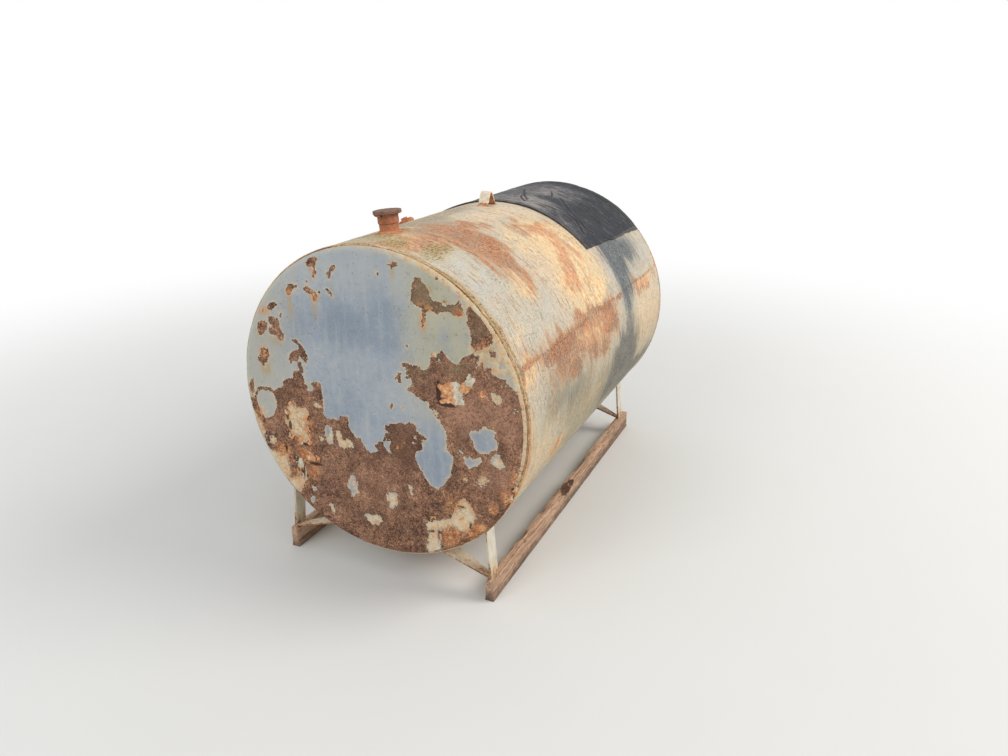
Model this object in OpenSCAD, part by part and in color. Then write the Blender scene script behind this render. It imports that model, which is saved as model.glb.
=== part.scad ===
// Horizontal storage tank: a welded steel shell with flanged flat heads, a capped
// fill neck, a plugged bung, a lifting lug and a rubber cover laid over its back,
// carried on four splayed bar legs that stand on two timber runners.
// Axes: X to the right of the front head, Y from the front head to the rear, Z up.
// The origin is on the ground below the middle of the tank. Millimetres.

/* [Tank] */
// Outside diameter of the shell
tank_od = 1219.2; // [1000:0.2:1400]
// Length over both heads
tank_len = 1828.8; // [1700:0.2:2400]
// Height of the shell's underside above the ground
belly_h = 109.4; // [96:0.2:200]
// Plate thickness of the shell
shell_t = 3.4; // [2.5:0.1:6]
// Plate thickness of the heads
head_t = 3.4; // [2.5:0.1:6]
// Outside radius of the knuckle between a head's face and its flange
knuckle_r = 13; // [9:0.5:30]
// Depth of a head's flange, from the face
flange_depth = 52; // [30:1:90]
// How far the shell's edge lies behind the head's face
shell_setback = 18; // [16:0.5:26]
// Clearance between pieces that slide in or sit on a curve
fit_gap = 0.3; // [0.2:0.05:0.6]

/* [Welds] */
// Width of the bead round each head
head_bead_w = 7.5; // [5:0.25:10]
// How far the bead round each head stands above the shell
head_bead_rise = 2; // [1:0.25:3]
// Place of the shell's long seam, from the crown towards the right
seam_angle = 69; // [55:1:85]
// Radius of the seam's bead
seam_bead_r = 7; // [5:0.5:12]
// How far the seam's bead stands above the shell
seam_bead_rise = 2.2; // [1:0.1:4]
// Leg size of the fillets at the legs and the lug
fillet = 7; // [4:0.5:10]

/* [Fill neck] */
// Distance of the neck behind the front head
fill_back = 250; // [150:1:500]
// Lean of the neck from the crown, negative to the left
fill_angle = -5.5; // [-15:0.5:15]
// Outside diameter of the neck
neck_od = 73; // [50:0.5:120]
// Wall of the neck
neck_t = 6.5; // [4:0.5:9]
// Reach of the neck and the bung inside the shell
neck_stub = 12; // [5:1:40]
// Height of the neck's plain part above the shell
neck_h = 33; // [20:1:80]
// Length of the neck's end inside the collar
neck_spigot = 24; // [12:1:30]
// Outside diameter of the collar on the neck
collar_od = 79; // [56:0.5:130]
// Height of the collar
collar_h = 40; // [31:1:80]
// Depth of the groove between neck and collar
groove_d = 1.6; // [0.8:0.1:2.2]
// Outside diameter of the cap
cap_od = 107; // [88:0.5:160]
// Height of the cap's rim
cap_h = 14; // [11:0.5:30]
// Depth of the dish in the cap's top
cap_dish = 1.8; // [0.5:0.1:2]
// Direction of the catch under the cap, from the right towards the rear
catch_angle = 205; // [0:1:360]
// Arc that the catch takes up
catch_arc = 130; // [60:1:170]
// Height of the catch
catch_h = 9; // [5:0.5:12]

/* [Bung] */
// Distance of the bung behind the front head
bung_back = 780; // [700:1:860]
// Place of the bung from the crown, negative to the left
bung_angle = -30; // [-60:1:-22]
// Outside diameter of the bung
bung_od = 76; // [50:1:100]
// Height of the bung above the shell
bung_h = 20; // [14:1:40]
// Rounding of the bung's rim
bung_round = 2; // [1:0.5:4]
// Diameter of the plug's threaded body
plug_d = 56; // [30:1:60]
// Length of the plug's threaded body
plug_len = 16; // [8:1:24]
// Width of the plug's square head across its flats
plug_square = 22; // [14:1:28]
// Height of the plug's square head
plug_head_h = 11; // [6:1:20]

/* [Lifting lug] */
// Distance of the lug's middle behind the front head
lug_back = 960; // [900:1:1000]
// Length of the lug over its feet
lug_span = 88; // [70:1:120]
// Height of the lug
lug_h = 62; // [45:1:80]
// Width of the strap
lug_w = 47; // [30:1:70]
// Thickness of the strap
lug_t = 8; // [5:0.5:10]
// Outside radius of the bend at the lug's top
lug_bend_r = 19; // [14:0.5:24]

/* [Rubber cover] */
// Distance of the cover's front edge behind the front head
cover_back = 1070; // [1060:1:1300]
// Distance of the cover's rear edge from the rear head
cover_rear = 28; // [22:1:200]
// Reach of the cover to the right of the crown, as an angle
cover_right_angle = 48; // [30:1:64]
// Reach of the cover to the left of the crown, as an angle
cover_left_angle = 50; // [30:1:70]
// Thickness of the rubber
cover_t = 5; // [3:0.5:8]

/* [Legs] */
// Distance of the front legs behind the front head
front_leg_back = 22; // [20:1:200]
// Distance of the rear legs ahead of the rear head
rear_leg_back = 102; // [20:1:200]
// Width of the leg bar, along the tank
bar_w = 64; // [40:1:100]
// Thickness of the leg bar
bar_t = 9.5; // [6:0.5:14]
// Distance of a foot's outer face inside the shell's side
foot_inset = 149.6; // [120:0.2:180]
// Lean of a post inwards from the foot
post_lean = 5; // [0:0.5:12]
// Slope of a brace
brace_slope = 17.5; // [12:0.5:24]
// Width of a brace where it meets the shell
brace_w = 84; // [50:1:120]
// Width of a brace at the foot
brace_foot_w = 26; // [16:1:60]

/* [Runners] */
// Width of a runner
runner_w = 38; // [32:1:90]
// Height of a runner
runner_h = 89; // [60:1:89]
// Distance of a runner's front end behind the front head
runner_front = 12; // [5:1:19]
// Distance of a runner's rear end ahead of the rear head
runner_rear = 37; // [5:1:80]
// Distance of a runner's middle inside a foot's outer face
runner_inset = 5; // [-5:0.5:14]
// Worn corner along a runner's top edges
runner_wear = 4; // [1:0.5:8]
// Radius of the rotten pocket in the right runner
rot_r = 24; // [10:1:30]

/* [Hidden] */
$fn = 96;
cut = 1;
shell_r = tank_od / 2;
axis_h = belly_h + shell_r;
head_r = shell_r - shell_t - fit_gap;
front_y = -tank_len / 2;
shell_len = tank_len - 2 * shell_setback;
neck_r = neck_od / 2;
neck_in = shell_t + neck_stub;
collar_r = collar_od / 2;
collar_low = neck_h;
cap_low = collar_low + collar_h;
cap_r = cap_od / 2;
cap_skirt = 5;
cap_edge = 2.5;
bung_r = bung_od / 2;
plug_r = plug_d / 2;
lug_core_r = lug_bend_r - lug_t;
foot_out = shell_r - foot_inset;
foot_x = foot_out - bar_t / 2;
runner_out = foot_out - runner_inset;
leg_backs = [front_leg_back, tank_len - rear_leg_back - bar_w];
leg_h = axis_h - runner_h;
runner_len = tank_len - runner_front - runner_rear;

// Colours as weathered
cream = [0.80, 0.75, 0.64];
head_grey = [0.60, 0.64, 0.67];
rust = [0.62, 0.38, 0.24];
bright_rust = [0.80, 0.50, 0.32];
rubber_grey = [0.36, 0.36, 0.38];
bar_grey = [0.72, 0.70, 0.62];
timber = [0.62, 0.47, 0.36];

// Puts a child that is drawn up its own Z onto the tank's axis, running to the rear
module along_tank(back) {
    translate([0, front_y + back, axis_h]) rotate([-90, 0, 0]) children();
}

// Frame on the shell's surface: Z points out of the shell, Y runs to the rear
module on_shell(back, angle) {
    translate([0, front_y + back, axis_h]) rotate([0, angle, 0]) translate([0, 0, shell_r]) children();
}

// All the space that the shell takes up, with the clearance over its surface
module shell_space() {
    along_tank(-cut) cylinder(r = shell_r + fit_gap, h = tank_len + 2 * cut, $fn = 720);
}

// Half section of a flat-ended can with a rounded corner, face on the X axis
module can_section(r, depth, corner) {
    square([r - corner, depth]);
    translate([0, corner]) square([r, depth - corner]);
    translate([r - corner, corner]) circle(corner);
}

// One end of the tank: a flat head with a knuckle and a straight flange
module head() {
    rotate_extrude($fn = 180) difference() {
        can_section(head_r, flange_depth, knuckle_r);
        translate([0, head_t]) can_section(head_r - head_t, flange_depth, knuckle_r - head_t);
    }
}

// Bead in the corner between a head's flange and the edge of the shell
module head_bead() {
    root = head_r + fit_gap;
    crown = shell_r + head_bead_rise;
    toe = shell_setback - head_bead_w;
    rotate_extrude($fn = 180) polygon([
        [root, shell_setback], [root, toe], [(root + crown) / 2, toe + head_bead_w / 8],
        [crown, shell_setback - head_bead_w / 2], [crown, shell_setback - head_bead_w / 4],
        [shell_r, shell_setback]
    ]);
}

// Puts a child made for the front end on the rear end
module at_rear() {
    translate([0, 0, 2 * axis_h]) rotate([180, 0, 0]) children();
}

module shell() {
    color(cream) difference() {
        along_tank(shell_setback) cylinder(r = shell_r, h = shell_len, $fn = 180);
        along_tank(shell_setback - cut)
            cylinder(r = shell_r - shell_t, h = shell_len + 2 * cut, $fn = 180);
        on_shell(fill_back, fill_angle) translate([0, 0, -neck_in])
            cylinder(r = neck_r + fit_gap, h = 2 * neck_in);
        on_shell(bung_back, bung_angle) translate([0, 0, -neck_in])
            cylinder(r = bung_r + fit_gap, h = 2 * neck_in);
    }
}

// Bead along the shell's long seam, flat underneath
module seam_weld() {
    seam_end = 5;
    seam_len = shell_len - 2 * seam_end;
    color(rust) along_tank(shell_setback + seam_end) linear_extrude(seam_len)
        rotate(seam_angle - 90) intersection() {
            translate([shell_r + seam_bead_rise - seam_bead_r, 0]) circle(seam_bead_r);
            translate([shell_r + fit_gap, -seam_bead_r]) square(2 * seam_bead_r);
        }
}

module front_head() {
    color(head_grey) along_tank(0) head();
}

module rear_head() {
    color(head_grey) at_rear() along_tank(0) head();
}

module front_head_weld() {
    color(bright_rust) along_tank(0) head_bead();
}

module rear_head_weld() {
    color(bright_rust) at_rear() along_tank(0) head_bead();
}

// Fillet round a pipe of radius r, coped onto the shell
module pipe_fillet(r, leg) {
    fillet_low = 8;
    rotate_extrude() difference() {
        translate([r + fit_gap, -fillet_low]) square([leg, fillet_low + leg]);
        translate([r + fit_gap + leg * 1.15, leg * 1.15]) circle(leg, $fn = 48);
    }
}

module fill_weld() {
    color(bright_rust) difference() {
        on_shell(fill_back, fill_angle) pipe_fillet(neck_r, fillet);
        shell_space();
    }
}

// Neck with a turned-down end that the collar screws over
module fill_neck() {
    spigot_r = neck_r - groove_d;
    color(rust) on_shell(fill_back, fill_angle) rotate_extrude() difference() {
        union() {
            translate([neck_r - neck_t, -neck_in]) square([neck_t, neck_in + neck_h - groove_d]);
            translate([neck_r - neck_t, -neck_in])
                square([neck_t - groove_d, neck_in + neck_h + neck_spigot]);
        }
        translate([neck_r, -neck_in]) circle(groove_d, $fn = 24);
        translate([spigot_r, neck_h + neck_spigot]) circle(groove_d, $fn = 24);
    }
}

// Collar, bored to screw over the neck and closed in above it to seat the cap
module fill_collar() {
    bore_r = neck_r - groove_d + fit_gap;
    lip = 4;
    color(rust) on_shell(fill_back, fill_angle) translate([0, 0, collar_low]) rotate_extrude()
        difference() {
            square([collar_r, collar_h]);
            translate([-cut, -cut]) square([bore_r + cut, neck_spigot + cut]);
            translate([-cut, -cut]) square([bore_r - lip + cut, collar_h + 2 * cut]);
            translate([collar_r, 0]) circle(groove_d, $fn = 24);
            translate([collar_r, collar_h]) circle(groove_d, $fn = 24);
        }
}

// Part of a ring round the collar, under the cap's rim
module fill_catch() {
    ring_in = collar_r + fit_gap;
    ring_out = cap_r - cap_edge;
    color(rust) on_shell(fill_back, fill_angle) rotate([0, 0, catch_angle - catch_arc / 2])
        translate([0, 0, cap_low - cap_skirt - fit_gap - catch_h])
            rotate_extrude(angle = catch_arc) difference() {
                translate([ring_in, 0]) square([ring_out - ring_in, catch_h]);
                translate([ring_out, 0]) circle(catch_h / 3, $fn = 24);
                translate([ring_in, 0]) rotate(-30)
                    translate([0, -catch_h]) square([2 * cap_r, catch_h]);
            }
}

module fill_cap() {
    skirt_in = collar_r + 2 * fit_gap;
    color([0.43, 0.39, 0.35]) on_shell(fill_back, fill_angle) translate([0, 0, cap_low])
        rotate_extrude() difference() {
            union() {
                translate([0, -cap_skirt]) square([cap_r - cap_edge, cap_h]);
                translate([0, cap_edge - cap_skirt]) square([cap_r, cap_h - 2 * cap_edge]);
                for (level = [cap_edge, cap_h - cap_edge])
                    translate([cap_r - cap_edge, level - cap_skirt]) circle(cap_edge, $fn = 24);
            }
            translate([-cut, -cap_skirt - cut]) square([skirt_in + cut, cap_skirt + cut]);
            translate([-cut, cap_h - cap_skirt - cap_dish])
                square([cap_r - 4 * cap_edge + cut, cap_dish + cut]);
        }
}

module bung_weld() {
    color(bright_rust) difference() {
        on_shell(bung_back, bung_angle) pipe_fillet(bung_r, fillet);
        shell_space();
    }
}

module bung_collar() {
    color(rust) on_shell(bung_back, bung_angle) rotate_extrude() difference() {
        translate([0, -neck_in]) square([bung_r, neck_in + bung_h]);
        translate([-cut, -neck_in - cut])
            square([plug_r + fit_gap + cut, neck_in + bung_h + 2 * cut]);
        translate([bung_r, bung_h]) circle(bung_round, $fn = 24);
    }
}

// Plug with a flange on the collar and a square for the wrench
module bung_plug() {
    flange_h = 5;
    flange_r = (plug_r + bung_r) / 2;
    color(rust) on_shell(bung_back, bung_angle) translate([0, 0, bung_h]) {
        translate([0, 0, -plug_len]) cylinder(r = plug_r, h = plug_len + flange_h);
        cylinder(r = flange_r, h = flange_h);
        translate([-plug_square / 2, -plug_square / 2, 0])
            cube([plug_square, plug_square, flange_h + plug_head_h]);
    }
}

// Outline of a strap bent to an arch: straight legs that run into a round top.
// half is the half span at the feet, r the radius of the top, top its height
module arch(half, r, top) {
    rise = top - r;
    reach = sqrt(half * half + rise * rise);
    lean = atan2(rise, half) + asin(r / reach);
    touch = [r * sin(lean), rise + r * cos(lean)];
    translate([0, rise]) circle(r, $fn = 64);
    polygon([[-half, 0], [half, 0], touch, [-touch[0], touch[1]]]);
}

module lifting_lug() {
    half = lug_span / 2;
    rise = lug_h - lug_bend_r;
    lean = atan2(rise, half) + asin(lug_bend_r / sqrt(half * half + rise * rise));
    inner_half = half - lug_t / sin(lean);
    sink = 4;
    color([0.93, 0.88, 0.78]) difference() {
        on_shell(lug_back, 0) translate([-lug_w / 2, 0, 0]) rotate([90, 0, 90])
            linear_extrude(lug_w) difference() {
                union() {
                    arch(half, lug_bend_r, lug_h);
                    translate([-half, -sink]) square([2 * half, sink]);
                }
                arch(inner_half, lug_core_r, lug_h - lug_t);
                translate([-inner_half, -sink - cut]) square([2 * inner_half, sink + 2 * cut]);
            }
        shell_space();
    }
}

// Fillets along the outer edges of the lug's feet
module lug_welds() {
    sink = 4;
    color(bright_rust) difference() {
        on_shell(lug_back, 0) for (side = [-1, 1]) scale([1, side, 1])
            translate([-lug_w / 2, lug_span / 2 + fit_gap, 0]) rotate([90, 0, 90])
                linear_extrude(lug_w) polygon([[0, -sink], [fillet, -sink], [fillet, 0], [0, fillet]]);
        shell_space();
    }
}

module rubber_cover() {
    cover_len = tank_len - cover_back - cover_rear;
    inner = shell_r + fit_gap;
    outer = inner + cover_t;
    color(rubber_grey) translate([0, front_y + cover_back, axis_h]) rotate([-90, 0, 0])
        rotate([0, 0, -90 - cover_left_angle]) linear_extrude(cover_len) difference() {
            sector(outer, cover_left_angle + cover_right_angle);
            circle(inner, $fn = 180);
        }
}

// Sector of a disc, from the X axis through an angle
module sector(r, angle) {
    far = 2 * r;
    intersection() {
        circle(r, $fn = 180);
        polygon([[0, 0], [far, 0], [far * cos(angle / 2), far * sin(angle / 2)],
            [far * cos(angle), far * sin(angle)]]);
    }
}

// Frame at a right foot, on the runner's top: X outwards, Y to the rear
module at_foot(back) {
    translate([foot_x, front_y + back, runner_h]) children();
}

// Frame along the post of a right foot, on the post's middle plane
module at_post(back) {
    at_foot(back) rotate([0, -post_lean, 0]) children();
}

// Post on the right, coped to the shell's underside
module post(back) {
    color(bar_grey) difference() {
        at_post(back) translate([-bar_t / 2, 0, -bar_t]) cube([bar_t, bar_w, leg_h]);
        translate([0, front_y, runner_h - 2 * bar_t]) cube([shell_r, tank_len, 2 * bar_t]);
        shell_space();
    }
}

// Length of a line from the foot to the shell's surface, rising inwards at the slope
function brace_reach(x, slope) =
    let (along = x * cos(slope) + leg_h * sin(slope))
    along - sqrt(along * along - x * x - leg_h * leg_h + shell_r * shell_r);

// Frame along the brace of a right foot: X runs from the shell's side to the foot
module at_brace(back) {
    at_foot(back) rotate([0, brace_slope, 0]) children();
}

// Outline of a brace: its front edge is straight, its rear edge opens towards the shell
module brace_outline() {
    reach = 2 * brace_reach(foot_x, brace_slope);
    polygon([[0, 0], [-reach, 0], [-reach, 2 * brace_w - brace_foot_w], [0, brace_foot_w]]);
}

// Brace on the right, seated on the runner beside the post and coped to the shell
module brace(back) {
    reach = 2 * brace_reach(foot_x, brace_slope);
    color(bar_grey) difference() {
        at_brace(back) linear_extrude(bar_t) brace_outline();
        at_post(back) translate([-bar_t / 2 - fit_gap, -cut, -leg_h])
            cube([reach, bar_w + 2 * cut, 2 * leg_h]);
        shell_space();
    }
}

// Fillets at one right leg: outside the top of the post, above the end of the brace,
// and in the corner between brace and post
module leg_welds(back) {
    reach = brace_reach(foot_x, brace_slope);
    color(rust) {
        difference() {
            intersection() {
                at_post(back) translate([bar_t / 2 + fit_gap, 0, 0]) cube([fillet, bar_w, leg_h]);
                along_tank(back - cut)
                    cylinder(r = shell_r + fillet, h = bar_w + 2 * cut, $fn = 720);
            }
            shell_space();
        }
        difference() {
            intersection() {
                at_brace(back) translate([-2 * reach, 0, bar_t + fit_gap])
                    cube([2 * reach, brace_w, fillet]);
                along_tank(back - cut)
                    cylinder(r = shell_r + fillet, h = brace_w + 2 * cut, $fn = 720);
            }
            shell_space();
        }
    }
}

module mirrored(side) {
    if (side > 0) children();
    else mirror([1, 0, 0]) children();
}

// Runner along Y with worn top edges, its middle on X = 0
module runner() {
    half = runner_w / 2;
    translate([0, front_y + runner_front + runner_len, 0]) rotate([90, 0, 0])
        linear_extrude(runner_len) polygon([
            [-half, 0], [half, 0], [half, runner_h - runner_wear],
            [half - runner_wear, runner_h], [runner_wear - half, runner_h],
            [-half, runner_h - runner_wear]
        ]);
}

module left_runner() {
    color(timber) translate([-runner_out, 0, 0]) runner();
}

module right_runner() {
    color(timber) translate([runner_out, 0, 0]) difference() {
        runner();
        for (spot = [[820, 1.0], [852, 0.8], [790, 0.7]])
            translate([runner_w / 2, front_y + spot[0], runner_h])
                sphere(r = rot_r * spot[1], $fn = 32);
    }
}

shell();
seam_weld();
front_head();
rear_head();
front_head_weld();
rear_head_weld();
fill_weld();
fill_neck();
fill_collar();
fill_catch();
fill_cap();
bung_weld();
bung_collar();
bung_plug();
lifting_lug();
lug_welds();
rubber_cover();
mirrored(-1) post(leg_backs[0]);  // front_left_post
mirrored(1) post(leg_backs[0]);  // front_right_post
mirrored(-1) post(leg_backs[1]);  // rear_left_post
mirrored(1) post(leg_backs[1]);  // rear_right_post
mirrored(-1) brace(leg_backs[0]);  // front_left_brace
mirrored(1) brace(leg_backs[0]);  // front_right_brace
mirrored(-1) brace(leg_backs[1]);  // rear_left_brace
mirrored(1) brace(leg_backs[1]);  // rear_right_brace
mirrored(-1) leg_welds(leg_backs[0]);  // front_left_welds
mirrored(1) leg_welds(leg_backs[0]);  // front_right_welds
mirrored(-1) leg_welds(leg_backs[1]);  // rear_left_welds
mirrored(1) leg_welds(leg_backs[1]);  // rear_right_welds
left_runner();
right_runner();
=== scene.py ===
import math

import bmesh
import bpy
import numpy as np
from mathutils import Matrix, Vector


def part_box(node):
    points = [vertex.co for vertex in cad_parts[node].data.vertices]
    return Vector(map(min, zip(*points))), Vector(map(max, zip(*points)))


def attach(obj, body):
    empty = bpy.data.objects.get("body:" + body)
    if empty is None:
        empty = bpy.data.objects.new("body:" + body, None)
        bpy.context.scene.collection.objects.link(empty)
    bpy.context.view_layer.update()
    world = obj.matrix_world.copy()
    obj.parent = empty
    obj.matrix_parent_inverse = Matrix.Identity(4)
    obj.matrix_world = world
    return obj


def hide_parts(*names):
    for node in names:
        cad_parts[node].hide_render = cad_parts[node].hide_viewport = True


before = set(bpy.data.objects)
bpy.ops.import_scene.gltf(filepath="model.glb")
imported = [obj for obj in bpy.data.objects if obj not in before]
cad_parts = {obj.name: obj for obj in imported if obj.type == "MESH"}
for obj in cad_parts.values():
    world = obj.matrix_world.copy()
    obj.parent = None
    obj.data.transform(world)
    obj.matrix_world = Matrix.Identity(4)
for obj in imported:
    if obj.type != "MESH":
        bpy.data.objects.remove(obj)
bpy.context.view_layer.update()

# The tank's own sizes in metres, taken from the frame
shell_low, shell_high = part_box("shell")
SHELL_R = (shell_high.x - shell_low.x) / 2
AXIS_H = (shell_high.z + shell_low.z) / 2
SHELL_FRONT, SHELL_REAR = shell_low.y, shell_high.y
HEAD_FRONT, HEAD_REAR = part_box("front_head")[0].y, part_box("rear_head")[1].y
HEAD_R = (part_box("front_head")[1].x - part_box("front_head")[0].x) / 2
MM = 0.001


# ---------------------------------------------------------------- camera and light

def shade(red, green, blue):
    """A colour as it looks on a screen, 0 to 255, in the linear values that the shaders take."""
    parts = []
    for part in (red, green, blue):
        part /= 255
        parts.append(part / 12.92 if part <= 0.04045 else ((part + 0.055) / 1.055) ** 2.4)
    return (*parts, 1.0)


def put(name, data):
    """A new object in the scene."""
    made = bpy.data.objects.new(name, data)
    bpy.context.scene.collection.objects.link(made)
    return made


def set_camera():
    """The photo's camera, solved from the outlines of both heads and the shell."""
    data = bpy.data.cameras.new("camera")
    data.sensor_width, data.lens = 36.0, 28.36
    camera = put("camera", data)
    camera.location = (1.551, -3.1714, 1.8788)
    camera.rotation_euler = (math.radians(68.96), 0, math.radians(24.51))
    bpy.context.scene.camera = camera


def soft_lamp(name, place, aim, size, power, tint):
    data = bpy.data.lights.new(name, "AREA")
    data.shape, data.size = "DISK", size
    data.energy, data.color = power, tint
    lamp = put(name, data)
    lamp.location = place
    lamp.rotation_euler = (Vector(aim) - Vector(place)).to_track_quat("-Z", "Y").to_euler()


# ---------------------------------------------------------------- node boards

class Value:
    """What one socket gives, so that sums on it read as sums on numbers."""

    def __init__(self, board, socket):
        self.board = board
        self.socket = socket

    def sum(self, operation, *parts):
        return self.board.node("ShaderNodeMath", dict(enumerate(parts)), operation=operation)

    def __add__(self, other):
        return self.sum("ADD", self, other)

    def __radd__(self, other):
        return self.sum("ADD", other, self)

    def __sub__(self, other):
        return self.sum("SUBTRACT", self, other)

    def __rsub__(self, other):
        return self.sum("SUBTRACT", other, self)

    def __mul__(self, other):
        return self.sum("MULTIPLY", self, other)

    def __rmul__(self, other):
        return self.sum("MULTIPLY", other, self)

    def __truediv__(self, other):
        return self.sum("DIVIDE", self, other)

    def __rtruediv__(self, other):
        return self.sum("DIVIDE", other, self)

    def __pow__(self, other):
        return self.sum("POWER", self, other)

    def most(self, other):
        return self.sum("MAXIMUM", self, other)

    def size(self):
        return self.sum("ABSOLUTE", self)

    def between(self, low, high):
        """0 below low and 1 above high, with a soft step from one to the other."""
        return self.board.node("ShaderNodeMapRange", {0: self, 1: low, 2: high}, interpolation_type="SMOOTHSTEP")

    def swing(self, gain):
        """A noise's departure from its middle, times gain."""
        return (self - 0.5) * gain

    def part(self, axis):
        """One number of a vector: X, Y or Z."""
        return self.board.node("ShaderNodeSeparateXYZ", {0: self}, output=axis)


class Board:
    """A node tree that nodes are put on with one method."""

    def __init__(self, tree):
        self.tree = tree

    def node(self, kind, inputs=None, output=0, **settings):
        made = self.tree.nodes.new(kind)
        for name, setting in settings.items():
            if name == "stops":
                band = made.color_ramp.elements
                while len(band) < len(setting):
                    band.new(0.5)
                for stop, (place, colour) in zip(band, setting):
                    stop.position = place
                    stop.color = colour
            else:
                setattr(made, name, setting)
        for name, value in (inputs or {}).items():
            if isinstance(value, Value):
                self.tree.links.new(value.socket, made.inputs[name])
            else:
                made.inputs[name].default_value = value
        return Value(self, made.outputs[output])

    def end(self, kind, socket, value):
        """Ends the tree with its output node."""
        self.tree.links.new(value.socket, self.tree.nodes.new(kind).inputs[socket])

    def sees_backdrop(self):
        """1 for the camera's own rays and those that it gets by gloss or through glass."""
        straight, glossy, through = (self.node("ShaderNodeLightPath", output=kind)
                                     for kind in ("Is Camera Ray", "Is Glossy Ray", "Is Transmission Ray"))
        return straight.most(glossy).most(through)


class Finish(Board):
    """One material: what varies over the surface feeds the colour, roughness and relief."""

    def __init__(self, name):
        self.material = bpy.data.materials.new(name)
        self.material.use_nodes = True
        super().__init__(self.material.node_tree)
        self.tree.nodes.clear()
        self.place = self.node("ShaderNodeTexCoord", output="Object")

    def attribute(self, name):
        return self.node("ShaderNodeAttribute", output="Fac", attribute_name=name)

    def vector(self, x, y, z):
        return self.node("ShaderNodeCombineXYZ", {0: x, 1: y, 2: z})

    def stretched(self, x, y, z):
        """The place, scaled by its own amount along each axis."""
        return self.node("ShaderNodeVectorMath", {0: self.place, 1: (x, y, z)}, operation="MULTIPLY")

    def noise(self, scale, detail=3.0, rough=0.55, vector=None, warp=0.0):
        return self.node("ShaderNodeTexNoise", {"Vector": vector or self.place, "Scale": scale, "Detail": detail,
                                                "Roughness": rough, "Distortion": warp})

    def cells(self, scale, vector=None, feature="F1"):
        return self.node("ShaderNodeTexVoronoi", {"Vector": vector or self.place, "Scale": scale},
                         feature=feature)

    def mix(self, amount, under, over):
        """One colour over another, each a socket's value or the (red, green, blue) of a shade."""
        under, over = (shade(*colour) if isinstance(colour, tuple) else colour for colour in (under, over))
        return self.node("ShaderNodeMix", {0: amount, 6: under, 7: over}, output=2, data_type="RGBA")

    def coats(self, colour, *coats):
        """A colour under coats of others, from the lowest up, each (amount, colour)."""
        for amount, over in coats:
            colour = self.mix(amount, colour, over)
        return colour

    def ramp(self, value, *stops):
        """Shades along a value, each stop (place, red, green, blue)."""
        stops = [(place, shade(*colour)) for place, *colour in stops]
        return self.node("ShaderNodeValToRGB", {0: value}, stops=stops)

    def close(self, colour, roughness, relief, specular):
        """Puts the shader together. relief is a height in millimetres."""
        normal = self.node("ShaderNodeBump", {"Strength": 1.0, "Distance": MM, "Height": relief})
        shader = self.node("ShaderNodeBsdfPrincipled", {"Base Color": colour, "Roughness": roughness,
                                                        "Normal": normal, "Specular IOR Level": specular})
        return self.finished(shader)

    def finished(self, shader):
        self.end("ShaderNodeOutputMaterial", "Surface", shader)
        return self.material


class Recipe(Board):
    """A Geometry Nodes tree with named inputs for its sizes."""

    def __init__(self, name, **sizes):
        super().__init__(bpy.data.node_groups.new(name, "GeometryNodeTree"))
        face = self.tree.interface
        face.new_socket("Geometry", in_out="INPUT", socket_type="NodeSocketGeometry")
        face.new_socket("Geometry", in_out="OUTPUT", socket_type="NodeSocketGeometry")
        for size in sizes:
            face.new_socket(size, in_out="INPUT", socket_type="NodeSocketFloat")
        face.new_socket("finish", in_out="INPUT", socket_type="NodeSocketMaterial")
        self.sizes = sizes
        self.start = self.tree.nodes.new("NodeGroupInput")

    def given(self, name):
        return Value(self, self.start.outputs[name])

    def scaled(self, vector, amount):
        return self.node("ShaderNodeVectorMath", {0: vector, 3: amount}, operation="SCALE")

    def close(self, geometry):
        """Ends the tree: real meshes with their material."""
        real = self.node("GeometryNodeRealizeInstances", {0: geometry})
        finished = self.node("GeometryNodeSetMaterial", {0: real, 2: self.given("finish")})
        self.end("NodeGroupOutput", "Geometry", finished)
        return self

    def make(self, name, base, finish, **sizes):
        """Runs the tree on a base mesh and gives the result as a plain piece."""
        source = put(name + "_base", base)
        step = source.modifiers.new("recipe", "NODES")
        step.node_group = self.tree
        given = {**self.sizes, **sizes, "finish": finish}
        for socket in self.tree.interface.items_tree:
            if socket.in_out == "INPUT" and socket.name in given:
                step[socket.identifier] = given[socket.name]
        return piece(name, mesh_seen(source, name), finish)


# ---------------------------------------------------------------- meshes

def piece(name, mesh, finish):
    """An object at the origin for a finished mesh."""
    mesh.materials.clear()
    mesh.materials.append(finish)
    mesh.polygons.foreach_set("use_smooth", [True] * len(mesh.polygons))
    return put(name, mesh)


def mesh_seen(source, name):
    """The mesh that an object's modifiers make of it; the object itself goes."""
    bpy.context.view_layer.update()
    seen = source.evaluated_get(bpy.context.evaluated_depsgraph_get())
    mesh = bpy.data.meshes.new_from_object(seen)
    mesh.name = name
    bpy.data.objects.remove(source)
    return mesh


def mesh_of(name, points, faces=(), edges=()):
    mesh = bpy.data.meshes.new(name)
    mesh.from_pydata(np.asarray(points).tolist(), edges, faces)
    mesh.update()
    return mesh


def outward(mesh, merge=2e-6):
    """Merges points closer than merge, if it isn't 0, and turns every face outwards."""
    made = bmesh.new()
    made.from_mesh(mesh)
    if merge:
        bmesh.ops.remove_doubles(made, verts=made.verts, dist=merge)
    bmesh.ops.recalc_face_normals(made, faces=made.faces)
    made.to_mesh(mesh)
    made.free()
    mesh.update()
    return mesh


def grid_faces(rows, columns, wrap_rows=False, wrap_columns=False):
    """Quads of a grid of points, row after row, closed on itself where it wraps."""
    row = np.arange(rows if wrap_rows else rows - 1)
    column = np.arange(columns if wrap_columns else columns - 1)
    r, c = np.meshgrid(row, column, indexing="ij")
    r2, c2 = (r + 1) % rows, (c + 1) % columns
    quads = np.stack([r * columns + c, r * columns + c2, r2 * columns + c2, r2 * columns + c], -1)
    return quads.reshape(-1, 4).tolist()


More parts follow.
